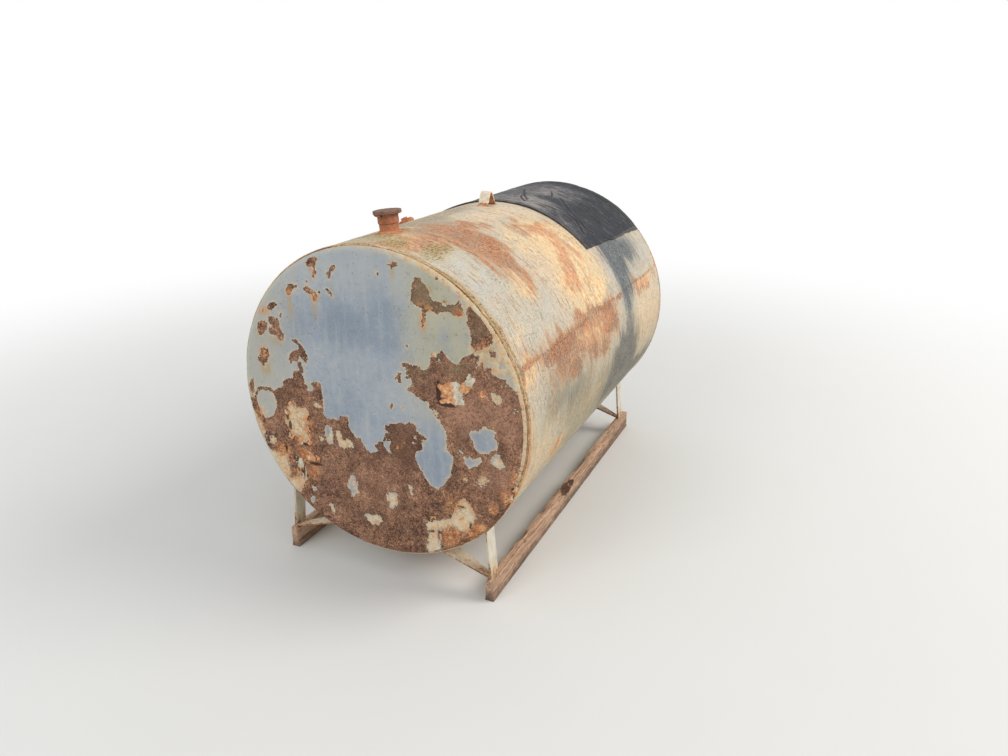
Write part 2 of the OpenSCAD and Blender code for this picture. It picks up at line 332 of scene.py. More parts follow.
def border(rows, columns):
    """The points round the edge of a grid, in order."""
    cell = np.arange(rows * columns).reshape(rows, columns)
    return np.concatenate([cell[0, :-1], cell[:-1, -1], cell[-1, :0:-1], cell[:0:-1, 0]])


def sheet_faces(rows, columns, first=0):
    """Faces of a sheet with two sides: the points of one from first on, then those of the other."""
    grid, loop, count = np.array(grid_faces(rows, columns)), border(rows, columns), rows * columns
    after = np.roll(loop, -1)
    rim = np.stack([loop, loop + count, after + count, after], -1)
    return (np.concatenate([grid, grid[:, ::-1] + count, rim]) + first).tolist()


def spread(x, y, z):
    """Points from their three numbers, each an array or one number for all."""
    return np.stack(np.broadcast_arrays(x, y, z), -1)


def threes(rows, field):
    flat = np.empty(len(rows) * 3)
    rows.foreach_get(field, flat)
    return flat.reshape(-1, 3)


def corners(mesh):
    """The mesh's points as an array."""
    return threes(mesh.vertices, "co")


def facing(mesh):
    """The direction out of the surface at each point."""
    return threes(mesh.vertex_normals, "vector")


def move_to(mesh, points):
    mesh.vertices.foreach_set("co", np.asarray(points).ravel())
    mesh.update()


def give_attribute(mesh, name, values):
    layer = mesh.attributes.new(name, "FLOAT", "POINT")
    layer.data.foreach_set("value", np.asarray(values, dtype=np.float32))


def lattice(cells, seed):
    """A number from -1 to 1 for each whole-numbered cell, its bits mixed by large odd numbers."""
    mixed = (cells[..., 0] * 73856093) ^ (cells[..., 1] * 19349663) ^ (cells[..., 2] * 83492791)
    mixed = (mixed ^ (seed * 2654435761)) & 0xFFFFFFFF
    mixed = ((mixed ^ (mixed >> 13)) * 1274126177) & 0xFFFFFFFF
    mixed = ((mixed ^ (mixed >> 16)) * 2246822519) & 0xFFFFFFFF
    return ((mixed >> 8) & 0xFFFF) / 32767.5 - 1.0


def rough(points, size, seed, octaves=3):
    """Smooth noise between -1 and 1 whose largest lumps are about this size."""
    total, weight, reach = 0.0, 1.0, 0.0
    points = np.asarray(points, dtype=float) / size
    for octave in range(octaves):
        cell = np.floor(points).astype(np.int64)
        part = points - cell
        part = part * part * (3 - 2 * part)
        value = 0.0
        for corner in range(8):
            step = np.array([corner & 1, corner >> 1 & 1, corner >> 2 & 1])
            share = np.prod(np.where(step, part, 1 - part), axis=-1)
            value = value + share * lattice(cell + step, seed + octave * 17)
        total = total + weight * value
        reach += weight
        weight *= 0.5
        points = points * 2.03 + 11.7
    return total / reach


def roughen(mesh, *layers):
    """Moves each point out or in along its normal, by (size, height, seed) layers of noise."""
    points, out = corners(mesh), facing(mesh)
    shift = sum(height * rough(points, size, seed) for size, height, seed in layers)
    move_to(mesh, points + out * shift[:, None])
    return mesh


def soft_step(value, low, high):
    part = np.clip((np.asarray(value, dtype=float) - low) / (high - low), 0, 1)
    return part * part * (3 - 2 * part)


def on_skin(back, angle, lift=0.0):
    """Points over the shell: back is behind the front head, angle in degrees from the crown."""
    turn, reach = np.radians(angle), SHELL_R + lift
    back = np.asarray(back, dtype=float)
    return spread(reach * np.sin(turn), HEAD_FRONT + back, AXIS_H + reach * np.cos(turn))


def skin_height(x, lift):
    """How high the shell, or what lies on it, is over its crown this far across; below 0."""
    return np.sqrt((SHELL_R + lift) ** 2 - x * x) - SHELL_R


def from_frame(points, back, angle):
    """Turns points drawn on a frame whose Z leaves the shell at this place, Y to the rear."""
    cos, sin = math.cos(math.radians(angle)), math.sin(math.radians(angle))
    x, y, z = np.asarray(points, dtype=float).T
    z = z + SHELL_R
    return spread(x * cos + z * sin, y + HEAD_FRONT + back, z * cos - x * sin + AXIS_H)


def blots(across, along, spots, steep=1.0):
    """How far points lie in soft oval spots of (across, along, half width, half length, strength)."""
    total = np.zeros(np.shape(across))
    for spot_across, spot_along, wide, long, strength in spots:
        off = ((across - spot_across) / wide) ** 2 + ((along - spot_along) / long) ** 2
        total = np.maximum(total, strength * np.exp(-off ** steep))
    return total


def depth_in(x, z, outlines):
    """How many millimetres points lie inside the nearest of these outlines, negative outside."""
    depth = np.full(x.shape, -40.0)
    for outline in outlines:
        ends = np.array(outline, dtype=float)
        low, high = ends.min(0) - 40, ends.max(0) + 40
        near = np.flatnonzero((x > low[0]) & (x < high[0]) & (z > low[1]) & (z < high[1]))
        if not len(near):
            continue
        px, pz = x[near][:, None], z[near][:, None]
        ax, az = ends.T
        bx, bz = np.roll(ends, -1, axis=0).T
        run, rise = bx - ax, bz - az
        part = np.clip(((px - ax) * run + (pz - az) * rise) / (run * run + rise * rise), 0, 1)
        away = np.hypot(px - ax - part * run, pz - az - part * rise).min(1)
        crosses = (az > pz) != (bz > pz)
        level = np.where(rise == 0, 1, rise)
        inside = (crosses & (px < run * (pz - az) / level + ax)).sum(1) % 2 == 1
        depth[near] = np.maximum(depth[near], np.where(inside, away, -away))
    return depth


# ---------------------------------------------------------------- finishes

def rust_colour(f, fresh, dull=1.0):
    """Brown rust, mottled and dusty, going to orange where it is fresh."""
    mottle = f.noise(11, 6, 0.7)
    grain = f.noise(190, 5, 0.8)
    tone = 0.5 + mottle.swing(0.7) + f.noise(52, 5, 0.72).swing(0.7) + grain.swing(1.7)
    brown = f.ramp(tone, (0.28, 56, 39, 31), (0.42, 100, 70, 53), (0.54, 136, 98, 76), (0.67, 170, 126, 98),
                   (0.82, 206, 166, 132))
    dust = f.noise(19, 5, 0.65).between(0.50, 0.64) * 0.22 * dull
    heat = (fresh * 1.2 + f.noise(120, 5, 0.8).swing(3.4) + mottle.swing(1.0) - 0.42).between(0.0, 0.5)
    orange = f.ramp(f.noise(62, 5, 0.75), (0.38, 152, 90, 54), (0.48, 194, 124, 78), (0.60, 228, 178, 126))
    brown = f.mix(dust, brown, (152, 118, 102))
    return f.mix(heat * 0.92, brown, orange)


def head_finish():
    f = Finish("flaking head paint")
    bare, fresh, olive, wash, cream, rim = map(f.attribute, ("bare", "fresh", "olive", "wash", "creamy", "rim"))
    # Painted shadow in the gaps under lifted paint and beside the curls; the gaps are also sunk in the relief
    gap = (f.attribute("gap") * 1.5 + f.noise(140, 4, 0.7).swing(1.6)).between(0.35, 0.7)
    x, up = f.place.part("X"), f.place.part("Z") - AXIS_H
    coarse, fine = f.noise(50, 6, 0.72), f.noise(190, 4, 0.78)
    ragged = coarse.swing(24) + fine.swing(11) + (f.cells(110) - 0.42) * 5
    edge = bare + ragged * (1 + cream * 1.1)
    rusted = edge.between(-0.45, 0.55)
    sound = 1 - rusted

    cloud, dapple = f.noise(4.0, 4, 0.55), f.noise(34, 5, 0.7)
    # Blue-grey paint: partly the paint's own colour, partly painted shade over the whole front head
    paint = f.ramp(cloud + dapple.swing(0.5), (0.32, 137, 148, 161), (0.50, 154, 162, 172), (0.70, 173, 177, 179))
    streak = f.noise(1.0, 4, 0.6, f.stretched(34, 34, 4.5))
    wander = f.noise(7, 4, 0.6)
    # A painted dapple shadow: a darker blue band across the head above its middle
    painted_dapple_shadow = (x + 0.11 + wander.swing(0.16)).size().between(0.17, 0.03)
    painted_dapple_shadow = painted_dapple_shadow * (up - 0.31 + wander.swing(0.10)).size().between(0.12, 0.02)
    warm_side = x.between(0.06, 0.24) * up.between(-0.10, 0.16)
    grime = f.noise(46, 6, 0.78).between(0.53, 0.70)
    chalk = f.noise(230, 4, 0.75).between(0.48, 0.68)
    buff = f.ramp(f.noise(55, 5, 0.75), (0.38, 214, 148, 92), (0.48, 222, 188, 142), (0.60, 214, 206, 182))
    creamy = (cream * 1.3 + dapple.swing(1.6) + fine.swing(0.8)).between(0.15, 0.65)
    washed = wash + f.noise(1.0, 4, 0.65, f.stretched(120, 120, 8)).swing(2.2) * wash
    halo = bare.between(-15, 0) * (f.noise(36, 5, 0.7).between(0.42, 0.58) + x.between(0.1, 0.35) * 0.4)
    scorch = (fresh * 1.3 + f.noise(80, 5, 0.75).swing(2.4)).between(0.3, 0.8)
    speck = f.noise(110, 3, 0.6).between(0.66, 0.70)
    moss = olive * 1.2 + f.noise(30, 5, 0.7).swing(1.6)
    # A painted highlight along the raised edge of the paint round each bare patch
    lip = edge.between(-5.5, -1.0) * sound
    # The knuckle is paler: partly cream-stained paint, partly a painted highlight that is stronger on the right
    # side
    knuckle = rim * (0.75 + dapple.swing(1.0)).between(0.2, 0.7)
    right = x.between(-0.20, 0.25)
    paint = f.coats(
        paint,
        (painted_dapple_shadow * 0.75, (122, 135, 150)),
        ((up + wander.swing(0.2)).between(0.38, 0.52) * 0.5, (176, 178, 175)),
        (streak.between(0.48, 0.7) * 0.34, (182, 184, 180)),
        (streak.between(0.46, 0.3) * 0.12, (128, 139, 150)),
        (warm_side * 0.85 * f.noise(16, 4).between(0.15, 0.55), (182, 175, 148)),
        # painted sunlight: paler, warmer paint towards the left edge
        (x.between(-0.24, -0.50) * 0.75, (178, 174, 160)),
        (grime * (0.34 + olive * 0.35 + warm_side * 0.2), (118, 118, 104)),
        (chalk * 0.30, (188, 192, 192)),
        (creamy * 0.95, buff),
        (washed.between(0.08, 0.8) * 0.8, (176, 154, 116)),
        (halo * 0.85, (200, 180, 148)),
        (scorch * bare.between(-24, -1) * 0.9, (204, 144, 92)),
        (speck * 0.7, (112, 92, 76)),
        (moss.between(0.3, 1.2) * 0.42, (150, 151, 118)),
        (lip * 0.55, (214, 203, 182)),
        (knuckle * (0.35 + right * 0.4), f.mix(right, (190, 190, 176), buff)))

    rust = rust_colour(f, fresh)
    deep = (x - 0.10).size().between(0.20, 0.06) * (up + 0.12 + wander.swing(0.1)).size().between(0.15, 0.04)
    rosy = f.attribute("rosy") * f.noise(70, 6, 0.8).between(0.36, 0.58)
    shadow = edge.between(3.4, 0.4) * rusted
    pits = f.cells(230).between(0.30, 0.12) * f.noise(44, 3).between(0.46, 0.56)
    crumbs = f.cells(150).between(0.22, 0.10) * f.noise(30, 3).between(0.50, 0.60)
    rust = f.coats(
        rust,
        (deep * 0.55, (88, 62, 49)),
        (rosy * 0.70, (188, 142, 116)),
        (moss.between(0.25, 1.0) * 0.6, (128, 114, 86)),
        (shadow * 0.55, (56, 40, 33)),
        (pits * 0.6, (58, 42, 35)),
        (crumbs * (0.35 + cream * 0.6), (214, 184, 142)))
    colour = f.mix(rusted, paint, rust)
    crack = f.cells(64, feature="DISTANCE_TO_EDGE").between(0.05, 0.0) * cream.between(0.45, 0.8)
    colour = f.coats(
        colour,
        (crack * 0.55, (74, 50, 38)),
        (gap * 0.88, (42, 29, 23)))

    film = sound * 0.55 + edge.between(-7.0, -0.8) * sound * 0.6
    scale = f.noise(38, 5, 0.7).swing(1.7) + f.noise(240, 4, 0.75).swing(1.1) - pits * 0.3
    skin = f.noise(700, 2).swing(0.06) + f.noise(24, 3).swing(0.35) + dapple.swing(0.2)
    blister = f.noise(130, 2, 0.5).between(0.62, 0.74) * bare.between(-26, -2) * 0.35
    relief = film + rusted * (scale + crumbs * 0.4) + sound * (skin + blister) - crack * 0.6 - gap
    roughness = 0.58 + rusted * 0.30 + f.noise(30).swing(0.14)
    return f.close(colour, roughness, relief, specular=0.32)


def flake_finish():
    """A loose paint chip: paint on its face, rust on its back and where its face is scorched."""
    f = Finish("curled paint flake")
    paint = f.ramp(f.noise(70, 4, 0.7), (0.38, 176, 170, 152), (0.50, 204, 192, 168), (0.64, 226, 214, 192))
    rust = f.ramp(f.noise(90, 4, 0.7), (0.36, 178, 116, 76), (0.50, 214, 152, 104), (0.66, 240, 200, 156))
    singed = (f.attribute("singed") + f.noise(60, 5, 0.75).swing(1.6)).between(0.4, 0.6)
    relief = f.noise(200, 4, 0.75).swing(0.7)
    return f.close(f.mix(singed, paint, rust), 0.7 + singed * 0.2, relief, specular=0.3)


def shell_finish():
    f = Finish("weathered shell paint")
    along, around, rusty, bright, stain = map(f.attribute, ("along", "around", "rusty", "bright", "stain"))
    crust, pale, soot, grown, warm = map(f.attribute, ("crust", "pale", "soot", "lichen", "warm"))
    flat = f.vector(along, around, 0.0)
    drift = along + f.noise(7, 3).swing(0.016)
    streak = f.noise(1.0, 5, 0.66, f.vector(drift * 70, around * 8.5, 0.0))
    fibre = f.noise(1.0, 4, 0.70, f.vector(drift * 185, around * 44, 5.0))
    hair = f.noise(1.0, 3, 0.7, f.vector(drift * 460, around * 60, 3.0))
    blotch = f.noise(9, 7, 0.70, flat, 0.5)
    fleck = f.noise(120, 5, 0.78, flat)
    sand = f.noise(420, 3, 0.7, flat)
    finger = f.noise(1.0, 4, 0.62, f.vector(drift * 36, around * 4.6, 8.0))
    crown = around.size().between(0.22, 0.06)
    fleck = fleck * (1 - crown) + f.noise(1.0, 5, 0.78, f.vector(along * 30, around * 130, 2.0)) * crown

    tone = 0.51 + fibre.swing(0.9) + streak.swing(0.7) + fleck.swing(1.1) + blotch.swing(0.7)
    cream = f.ramp(tone, (0.26, 140, 130, 110), (0.41, 188, 179, 158), (0.52, 218, 209, 190),
                   (0.64, 236, 227, 210), (0.80, 244, 238, 224))
    glow = f.ramp(tone, (0.30, 204, 152, 106), (0.46, 242, 212, 170), (0.62, 254, 239, 212))
    grey = (pale + blotch.swing(1.6) + fleck.swing(1.0) - 0.1).between(0.1, 0.6)
    # Soot and dirt, and painted shade that darkens the lower side and the underside of the shell
    dirt_and_shade = soot * 1.15 + blotch.swing(1.6) + streak.swing(1.6) + fleck.swing(1.1) - 0.09
    lines = hair.between(0.55, 0.62) * (streak + rusty * 0.3).between(0.46, 0.56)
    speckle = (fleck * 0.55 + sand * 0.45).between(0.54, 0.585) * (blotch + rusty * 0.4).between(0.46, 0.58)
    cream = f.coats(
        cream,
        # Yellow cream paint, and painted sunlight on the crown and low at the front of the shell
        ((warm + blotch.swing(1.6) + streak.swing(1.2)).between(0.1, 0.9) * 0.8, glow),
        (grey * 0.6, (203, 203, 197)),
        (dirt_and_shade.between(0.05, 0.75) * 0.85, f.mix(fibre.between(0.40, 0.60), (112, 106, 86), (172, 163, 138))),
        (lines * 0.55, (150, 114, 84)),
        (speckle * 0.6, (140, 106, 78)))

    burn = bright * 1.1 + streak.swing(1.3) + blotch.swing(2.6) + fibre.swing(1.6) - 0.34
    colour = f.mix(burn.between(-0.35, 0.25) * 0.8, cream, (246, 212, 158))
    fire = f.ramp(f.noise(40, 6, 0.75), (0.33, 204, 128, 80), (0.43, 234, 176, 118), (0.52, 250, 216, 160),
                  (0.64, 254, 238, 200))
    colour = f.mix((burn + fleck.swing(2.2)).between(0.15, 0.42) * 0.85, colour, fire)

    wear = rusty * 1.05 + finger.swing(2.6) + streak.swing(1.6) + fibre.swing(2.4) + blotch.swing(1.6) - 0.36
    core = (wear + fleck.swing(2.4)).between(0.04, 0.24)
    grit = 0.5 + fibre.swing(1.2) + fleck.swing(1.5) + blotch.swing(0.5)
    rust = f.ramp(grit, (0.28, 108, 61, 36), (0.42, 162, 94, 56), (0.54, 202, 126, 75), (0.67, 229, 163, 108),
                  (0.82, 246, 204, 150))
    light_rust = f.ramp(grit, (0.30, 188, 105, 62), (0.48, 231, 156, 106), (0.66, 250, 202, 149))
    colour = f.coats(
        colour,
        ((wear + fleck.swing(1.5)).between(-0.3, 0.2) * 0.5, (230, 178, 128)),
        (core * 0.94, f.mix(bright.between(0.2, 0.6) * 0.9, rust, light_rust)))

    bits = f.noise(78, 5, 0.8, f.vector(along, around * 0.7, 4.0))
    crumbly = f.noise(60, 6, 0.78)
    seamy = crust * 1.35 + crumbly.swing(3.4) + streak.swing(1.4) + blotch.swing(1.0) - 0.42
    scaled = seamy.between(0.05, 0.38)
    scale = f.ramp(0.5 + f.noise(130, 5, 0.8).swing(1.8), (0.28, 84, 58, 44), (0.43, 144, 91, 60),
                   (0.58, 197, 130, 88), (0.76, 231, 176, 128))
    colour = f.coats(
        colour,
        (core * bits.between(0.55, 0.60) * 0.7, f.mix(bright.between(0.1, 0.5), (226, 190, 148),
                                                      (252, 226, 178))),
        (core * bits.between(0.455, 0.40) * 0.6, f.mix(bright.between(0.2, 0.6), (110, 68, 46), (182, 108, 70))))
    scale = f.mix(bright.between(0.2, 0.8) * crumbly.between(0.40, 0.54) * 0.85, scale, light_rust)
    # Real stains, with painted shadow along the sheet's edge and painted shade on the lower side
    damp_and_shade = stain * 1.3 + streak.swing(2.2) + fibre.swing(2.6) + fleck.swing(1.4) + blotch.swing(1.2) - 0.02
    low_down = around.size().between(0.80, 1.02)
    stain_shade_colour = f.mix(low_down * damp_and_shade.between(0.95, 0.45), f.ramp(grit, (0.30, 46, 50, 56), (0.50, 84, 90, 96),
                                                              (0.72, 138, 141, 142)),
                  f.ramp(grit, (0.30, 50, 46, 40), (0.50, 94, 88, 76), (0.72, 150, 142, 124)))
    lichen = (grown + fleck.swing(3.0) + blotch.swing(1.6)).between(0.3, 0.6)
    spots = f.noise(1.0, 4, 0.8, f.vector(along * 52, around * 170, 1.0))
    shade_side = around.size().between(1.13, 1.30) * along.between(0.20, 0.55)
    colour = f.coats(
        colour,
        ((seamy + fleck.swing(1.6)).between(-0.4, 0.25) * 0.6, (206, 156, 112)),
        (scaled * 0.92, scale),
        (damp_and_shade.between(-0.3, 0.4) * 0.5, (160, 158, 148)),
        (damp_and_shade.between(0.12, 0.85) * 0.95, stain_shade_colour),
        (low_down * 0.18, (166, 144, 92)),
        (lichen * 0.62, f.mix(fleck.between(0.4, 0.6), (112, 104, 62), (184, 174, 110))),
        (grown.between(0.1, 0.5) * spots.between(0.53, 0.58) * 0.85, (104, 70, 44)),
        (grown.between(0.1, 0.5) * spots.between(0.47, 0.42) * 0.6, (222, 190, 144)),
        (shade_side * (0.45 + blotch.swing(1.2)).between(0.1, 0.8) * 0.75,
         f.mix(fibre.between(0.38, 0.62), (104, 104, 84), (168, 166, 140))))

    relief = fibre.swing(0.45) + hair.swing(0.25) + streak.swing(0.3) + sand.swing(0.25)
    relief = relief - core * 0.15 + f.noise(240, 4, 0.78).swing(1.0) * (0.2 + core * 0.7)
    relief = relief + scaled * (0.5 + f.noise(170, 4, 0.78).swing(2.0))
    roughness = 0.62 + core * 0.16 + scaled * 0.12 + streak.swing(0.12)
    return f.close(colour, roughness, relief, specular=0.32)


def weld_finish(name, dark, middle, light, moss=0.0):
    f = Finish(name)
    grain = f.noise(160, 4, 0.7) * 0.6 + f.noise(34, 3) * 0.4
    if moss:
        grain = grain + f.noise(1.0, 3, 0.6, f.stretched(3, 420, 3)).swing(1.3)
    colour = f.ramp(grain, (0.32, *dark), (0.5, *middle), (0.66, *light))
    colour = f.mix(f.noise(60, 3).between(0.6, 0.7) * 0.5, colour, (84, 62, 48))
    if moss:
        side = f.place.part("X").between(0.10, 0.30) * f.place.part("Z").between(AXIS_H + 0.10, AXIS_H + 0.28)
        green = side * f.noise(48, 4, 0.7).between(0.42, 0.6)
        colour = f.mix(green * moss, colour, (160, 154, 98))
    relief = f.noise(520, 4, 0.75).swing(0.7) + f.noise(140, 3).swing(0.5)
    return f.close(colour, 0.86, relief, specular=0.25)


def fitting_finish(name, dark, middle, light, fresh_low=0.0):
    """Heavy rust on a pipe fitting, brighter towards its foot where fresh_low is set."""
    f = Finish(name)
    grain = f.noise(42, 4, 0.65) * 0.55 + f.noise(230, 4, 0.7) * 0.45
    colour = f.ramp(grain, (0.30, *dark), (0.5, *middle), (0.70, *light))
    scabs = f.cells(95).between(0.30, 0.12) * f.noise(28, 2).between(0.42, 0.6)
    colour = f.mix(scabs * 0.45, colour, (92, 62, 48))
    if fresh_low:
        low = f.place.part("Z").between(AXIS_H + SHELL_R + 0.05, AXIS_H + SHELL_R + 0.005)
        colour = f.mix(low * f.noise(70, 3).between(0.35, 0.6) * fresh_low, colour, (222, 150, 104))
    relief = f.noise(85, 4, 0.7).swing(1.5) + f.noise(420, 4, 0.75).swing(0.6) - scabs * 0.4
    return f.close(colour, 0.88 + scabs * 0.08, relief, specular=0.22)


def lug_finish():
    f = Finish("lug paint")
    low = f.place.part("Z").between(AXIS_H + SHELL_R + 0.024, AXIS_H + SHELL_R + 0.002)
    worn = low * 1.1 + f.noise(130, 4, 0.7).swing(1.3) + f.attribute("inner") * 0.75
    paint = f.ramp(f.noise(60, 4), (0.35, 214, 198, 172), (0.65, 244, 230, 206))
    rust = rust_colour(f, f.noise(20) * 0.9 + 0.4)
    covered = worn.between(0.42, 0.58)
    relief = (1 - covered) * 0.3 + (f.noise(300, 4, 0.7) - 0.5) * (0.15 + covered * 0.7)
    return f.close(f.mix(covered, paint, rust), 0.6 + covered * 0.25, relief, specular=0.35)


def leg_finish():
    f = Finish("leg paint")
    z = f.place.part("Z")
    foot = z.between(0.20, 0.085)
    top = z.between(0.27, 0.32)
    streak = f.noise(1.0, 4, 0.6, f.stretched(90, 90, 11))
    worn = (foot * 0.55 + top * 0.25 + streak.swing(1.2) + f.noise(70, 4, 0.7).swing(1.0)
            + f.attribute("edge") * 0.45)
    covered = worn.between(0.48, 0.66)
    paint = f.ramp(f.noise(24, 4) * 0.5 + streak * 0.5, (0.3, 184, 175, 154), (0.52, 216, 208, 190),
                   (0.72, 234, 228, 212))
    rust = rust_colour(f, f.noise(16) * 0.8 + 0.1)
    relief = (1 - covered) * 0.3 + (f.noise(260, 4, 0.7) - 0.5) * (0.12 + covered * 0.8)
    paint = f.coats(
        paint,
        (foot * 0.7, (226, 202, 164)),
        (worn.between(0.2, 0.5) * 0.5, (182, 152, 116)))
    return f.close(f.mix(covered, paint, rust), 0.6 + covered * 0.25, relief, specular=0.35)


def rubber_finish():
    f = Finish("old rubber sheet")
    along, around = f.attribute("along"), f.attribute("around")
    drift = along + f.noise(9, 2).swing(0.05)
    lines = f.noise(1.0, 5, 0.68, f.vector(drift * 120, around * 10, 0.0))
    bloom = f.noise(34, 5, 0.7)
    tone = 0.48 + f.noise(7, 5, 0.6).swing(0.6) + bloom.swing(0.8) + lines.swing(1.2)
    tone = (tone + f.attribute("faded") * 0.26 - around.between(0.16, 0.42) * 0.20
            - along.between(1.60, 1.78) * 0.14)
    colour = f.ramp(tone, (0.28, 36, 39, 47), (0.44, 58, 60, 67), (0.57, 94, 92, 94), (0.70, 130, 125, 123),
                    (0.86, 160, 153, 146))
    dust = f.noise(16, 5, 0.7).between(0.5, 0.66) * 0.25
    cracks = f.noise(1.0, 4, 0.65, f.vector(drift * 85, around * 4, 5.0))
    crack = cracks.swing(1).size().between(0.026, 0.004) * f.noise(11, 3).between(0.42, 0.54)
    crease, ridge, rim = f.attribute("crease"), f.attribute("ridge"), f.attribute("rim")
    net = f.cells(120, feature="DISTANCE_TO_EDGE").between(0.06, 0.0) * 0.25
    relief = lines.swing(0.9) + f.noise(300, 3, 0.7).swing(0.3) - crack * 0.9 - net * 0.3 + bloom.swing(0.5)
    roughness = 0.64 + bloom.swing(0.3) + dust * 0.2
    colour = f.coats(
        colour,
        (dust, (142, 134, 126)),
        (crack * 0.85, (34, 35, 40)),
        # painted shade in the folds
        ((crease + bloom.swing(1.4)).between(0.52, 0.82) * 0.95, (26, 27, 32)),
        # painted highlight on the ridges beside the folds
        ((ridge + bloom.swing(1.2)).between(0.4, 0.9) * 0.10, (150, 145, 140)),
        ((rim + bloom.swing(1.4)).between(0.4, 0.8) * 0.3, (134, 124, 112)),
        (net * 0.5, (48, 48, 54)))
    return f.close(colour, roughness, relief, specular=0.28)


def timber_finish():
    f = Finish("weathered timber")
    depth = f.attribute("rot")
    grain = f.noise(1.0, 6, 0.62, f.stretched(210, 5.0, 210))
    fine = f.noise(1.0, 4, 0.7, f.stretched(720, 16, 720))
    broad = f.noise(1.0, 3, 0.5, f.stretched(34, 2.2, 34))
    colour = f.ramp(grain * 0.6 + fine * 0.2 + broad * 0.2, (0.32, 122, 98, 80), (0.46, 184, 146, 118),
                    (0.58, 226, 186, 154), (0.72, 244, 218, 188))
    y, z = f.place.part("Y"), f.place.part("Z")
    # Painted shade, with some damp: the timber darker low on its sides and towards the rear
    damp_and_shade = z.between(0.080, 0.0) * 0.8 + y.between(-0.2, 0.9) * 0.35 + f.noise(18, 5, 0.7).swing(1.6)
    bark = f.noise(1.0, 5, 0.75, f.stretched(120, 26, 120))
    split = (f.noise(1.0, 3, 0.6, f.stretched(95, 1.6, 95)) - 0.5).size().between(0.014, 0.0)
    rotten = (depth + f.noise(80, 4, 0.7).swing(0.7)).between(0.3, 0.7)
    crumb = f.ramp(f.noise(1.0, 4, 0.7, f.stretched(260, 90, 260)), (0.38, 42, 28, 22), (0.65, 104, 70, 50))
    relief = grain.swing(1.6) + fine.swing(0.6) - split * 1.2 + rotten * f.noise(140, 4, 0.75).swing(3)
    colour = f.coats(
        colour,
        (damp_and_shade.between(0.25, 0.9) * 0.72, (96, 78, 64)),
        (bark.between(0.52, 0.60) * 0.55, (176, 160, 148)),
        (bark.between(0.46, 0.40) * 0.55, (110, 82, 64)),
        (split * 0.75, (52, 38, 30)),
        (rotten * 0.9, crumb))
    return f.close(colour, 0.86, relief, specular=0.25)


def floor_finish():
    """A pale floor that fades into the white behind it."""
    f = Finish("studio floor")
    x, y = f.place.part("X"), f.place.part("Y")
    away = (x * x + y * y) ** 0.5
    tone = f.mix(f.noise(3, 3) * 0.3, (226, 225, 222), (219, 218, 215))
    plain = f.node("ShaderNodeBsdfPrincipled", {"Base Color": tone, "Roughness": 0.9})
    bright = f.node("ShaderNodeEmission", {"Color": (1, 1, 1, 1), "Strength": 1.0})
    blend = f.node("ShaderNodeMixShader", {0: away.between(1.8, 5.5) * f.sees_backdrop(), 1: plain, 2: bright})
    return f.finished(blend)


# ---------------------------------------------------------------- recipes

def bead_recipe():
    """Sweeps a rippled bead along every line of the base mesh."""
    r = Recipe("weld bead", width=0.006, ripple=0.004, height=0.0004, lumps=0.002, grain=0.01)
    lines = r.node("GeometryNodeMeshToCurve", {0: r.given("Geometry")})
    lines = r.node("GeometryNodeResampleCurve", {"Curve": lines, "Length": r.given("ripple") / 4}, mode="LENGTH")
    run = r.node("GeometryNodeSplineParameter", output="Length")
    lines = r.node("GeometryNodeStoreNamedAttribute", {"Geometry": lines, "Name": "run", "Value": run},
                   data_type="FLOAT")
    ring = r.node("GeometryNodeCurvePrimitiveCircle", {"Resolution": 10, "Radius": r.given("width") / 2})
    bead = r.node("GeometryNodeCurveToMesh", {"Curve": lines, "Profile Curve": ring, "Fill Caps": True})
    run = r.node("GeometryNodeInputNamedAttribute", {"Name": "run"}, data_type="FLOAT")
    place = r.node("GeometryNodeInputPosition")
    lump = r.node("ShaderNodeTexNoise", {"Vector": place, "Scale": 1 / r.given("grain"), "Detail": 3.0})
    turn = r.node("ShaderNodeMath", {0: run * (2 * math.pi) / r.given("ripple") + lump * 5}, operation="SINE")
    out = r.node("GeometryNodeInputNormal")
    shift = turn * r.given("height") + (lump - 0.5) * r.given("lumps")
    moved = r.node("GeometryNodeSetPosition", {"Geometry": bead, "Offset": r.scaled(out, shift)})
    return r.close(moved)


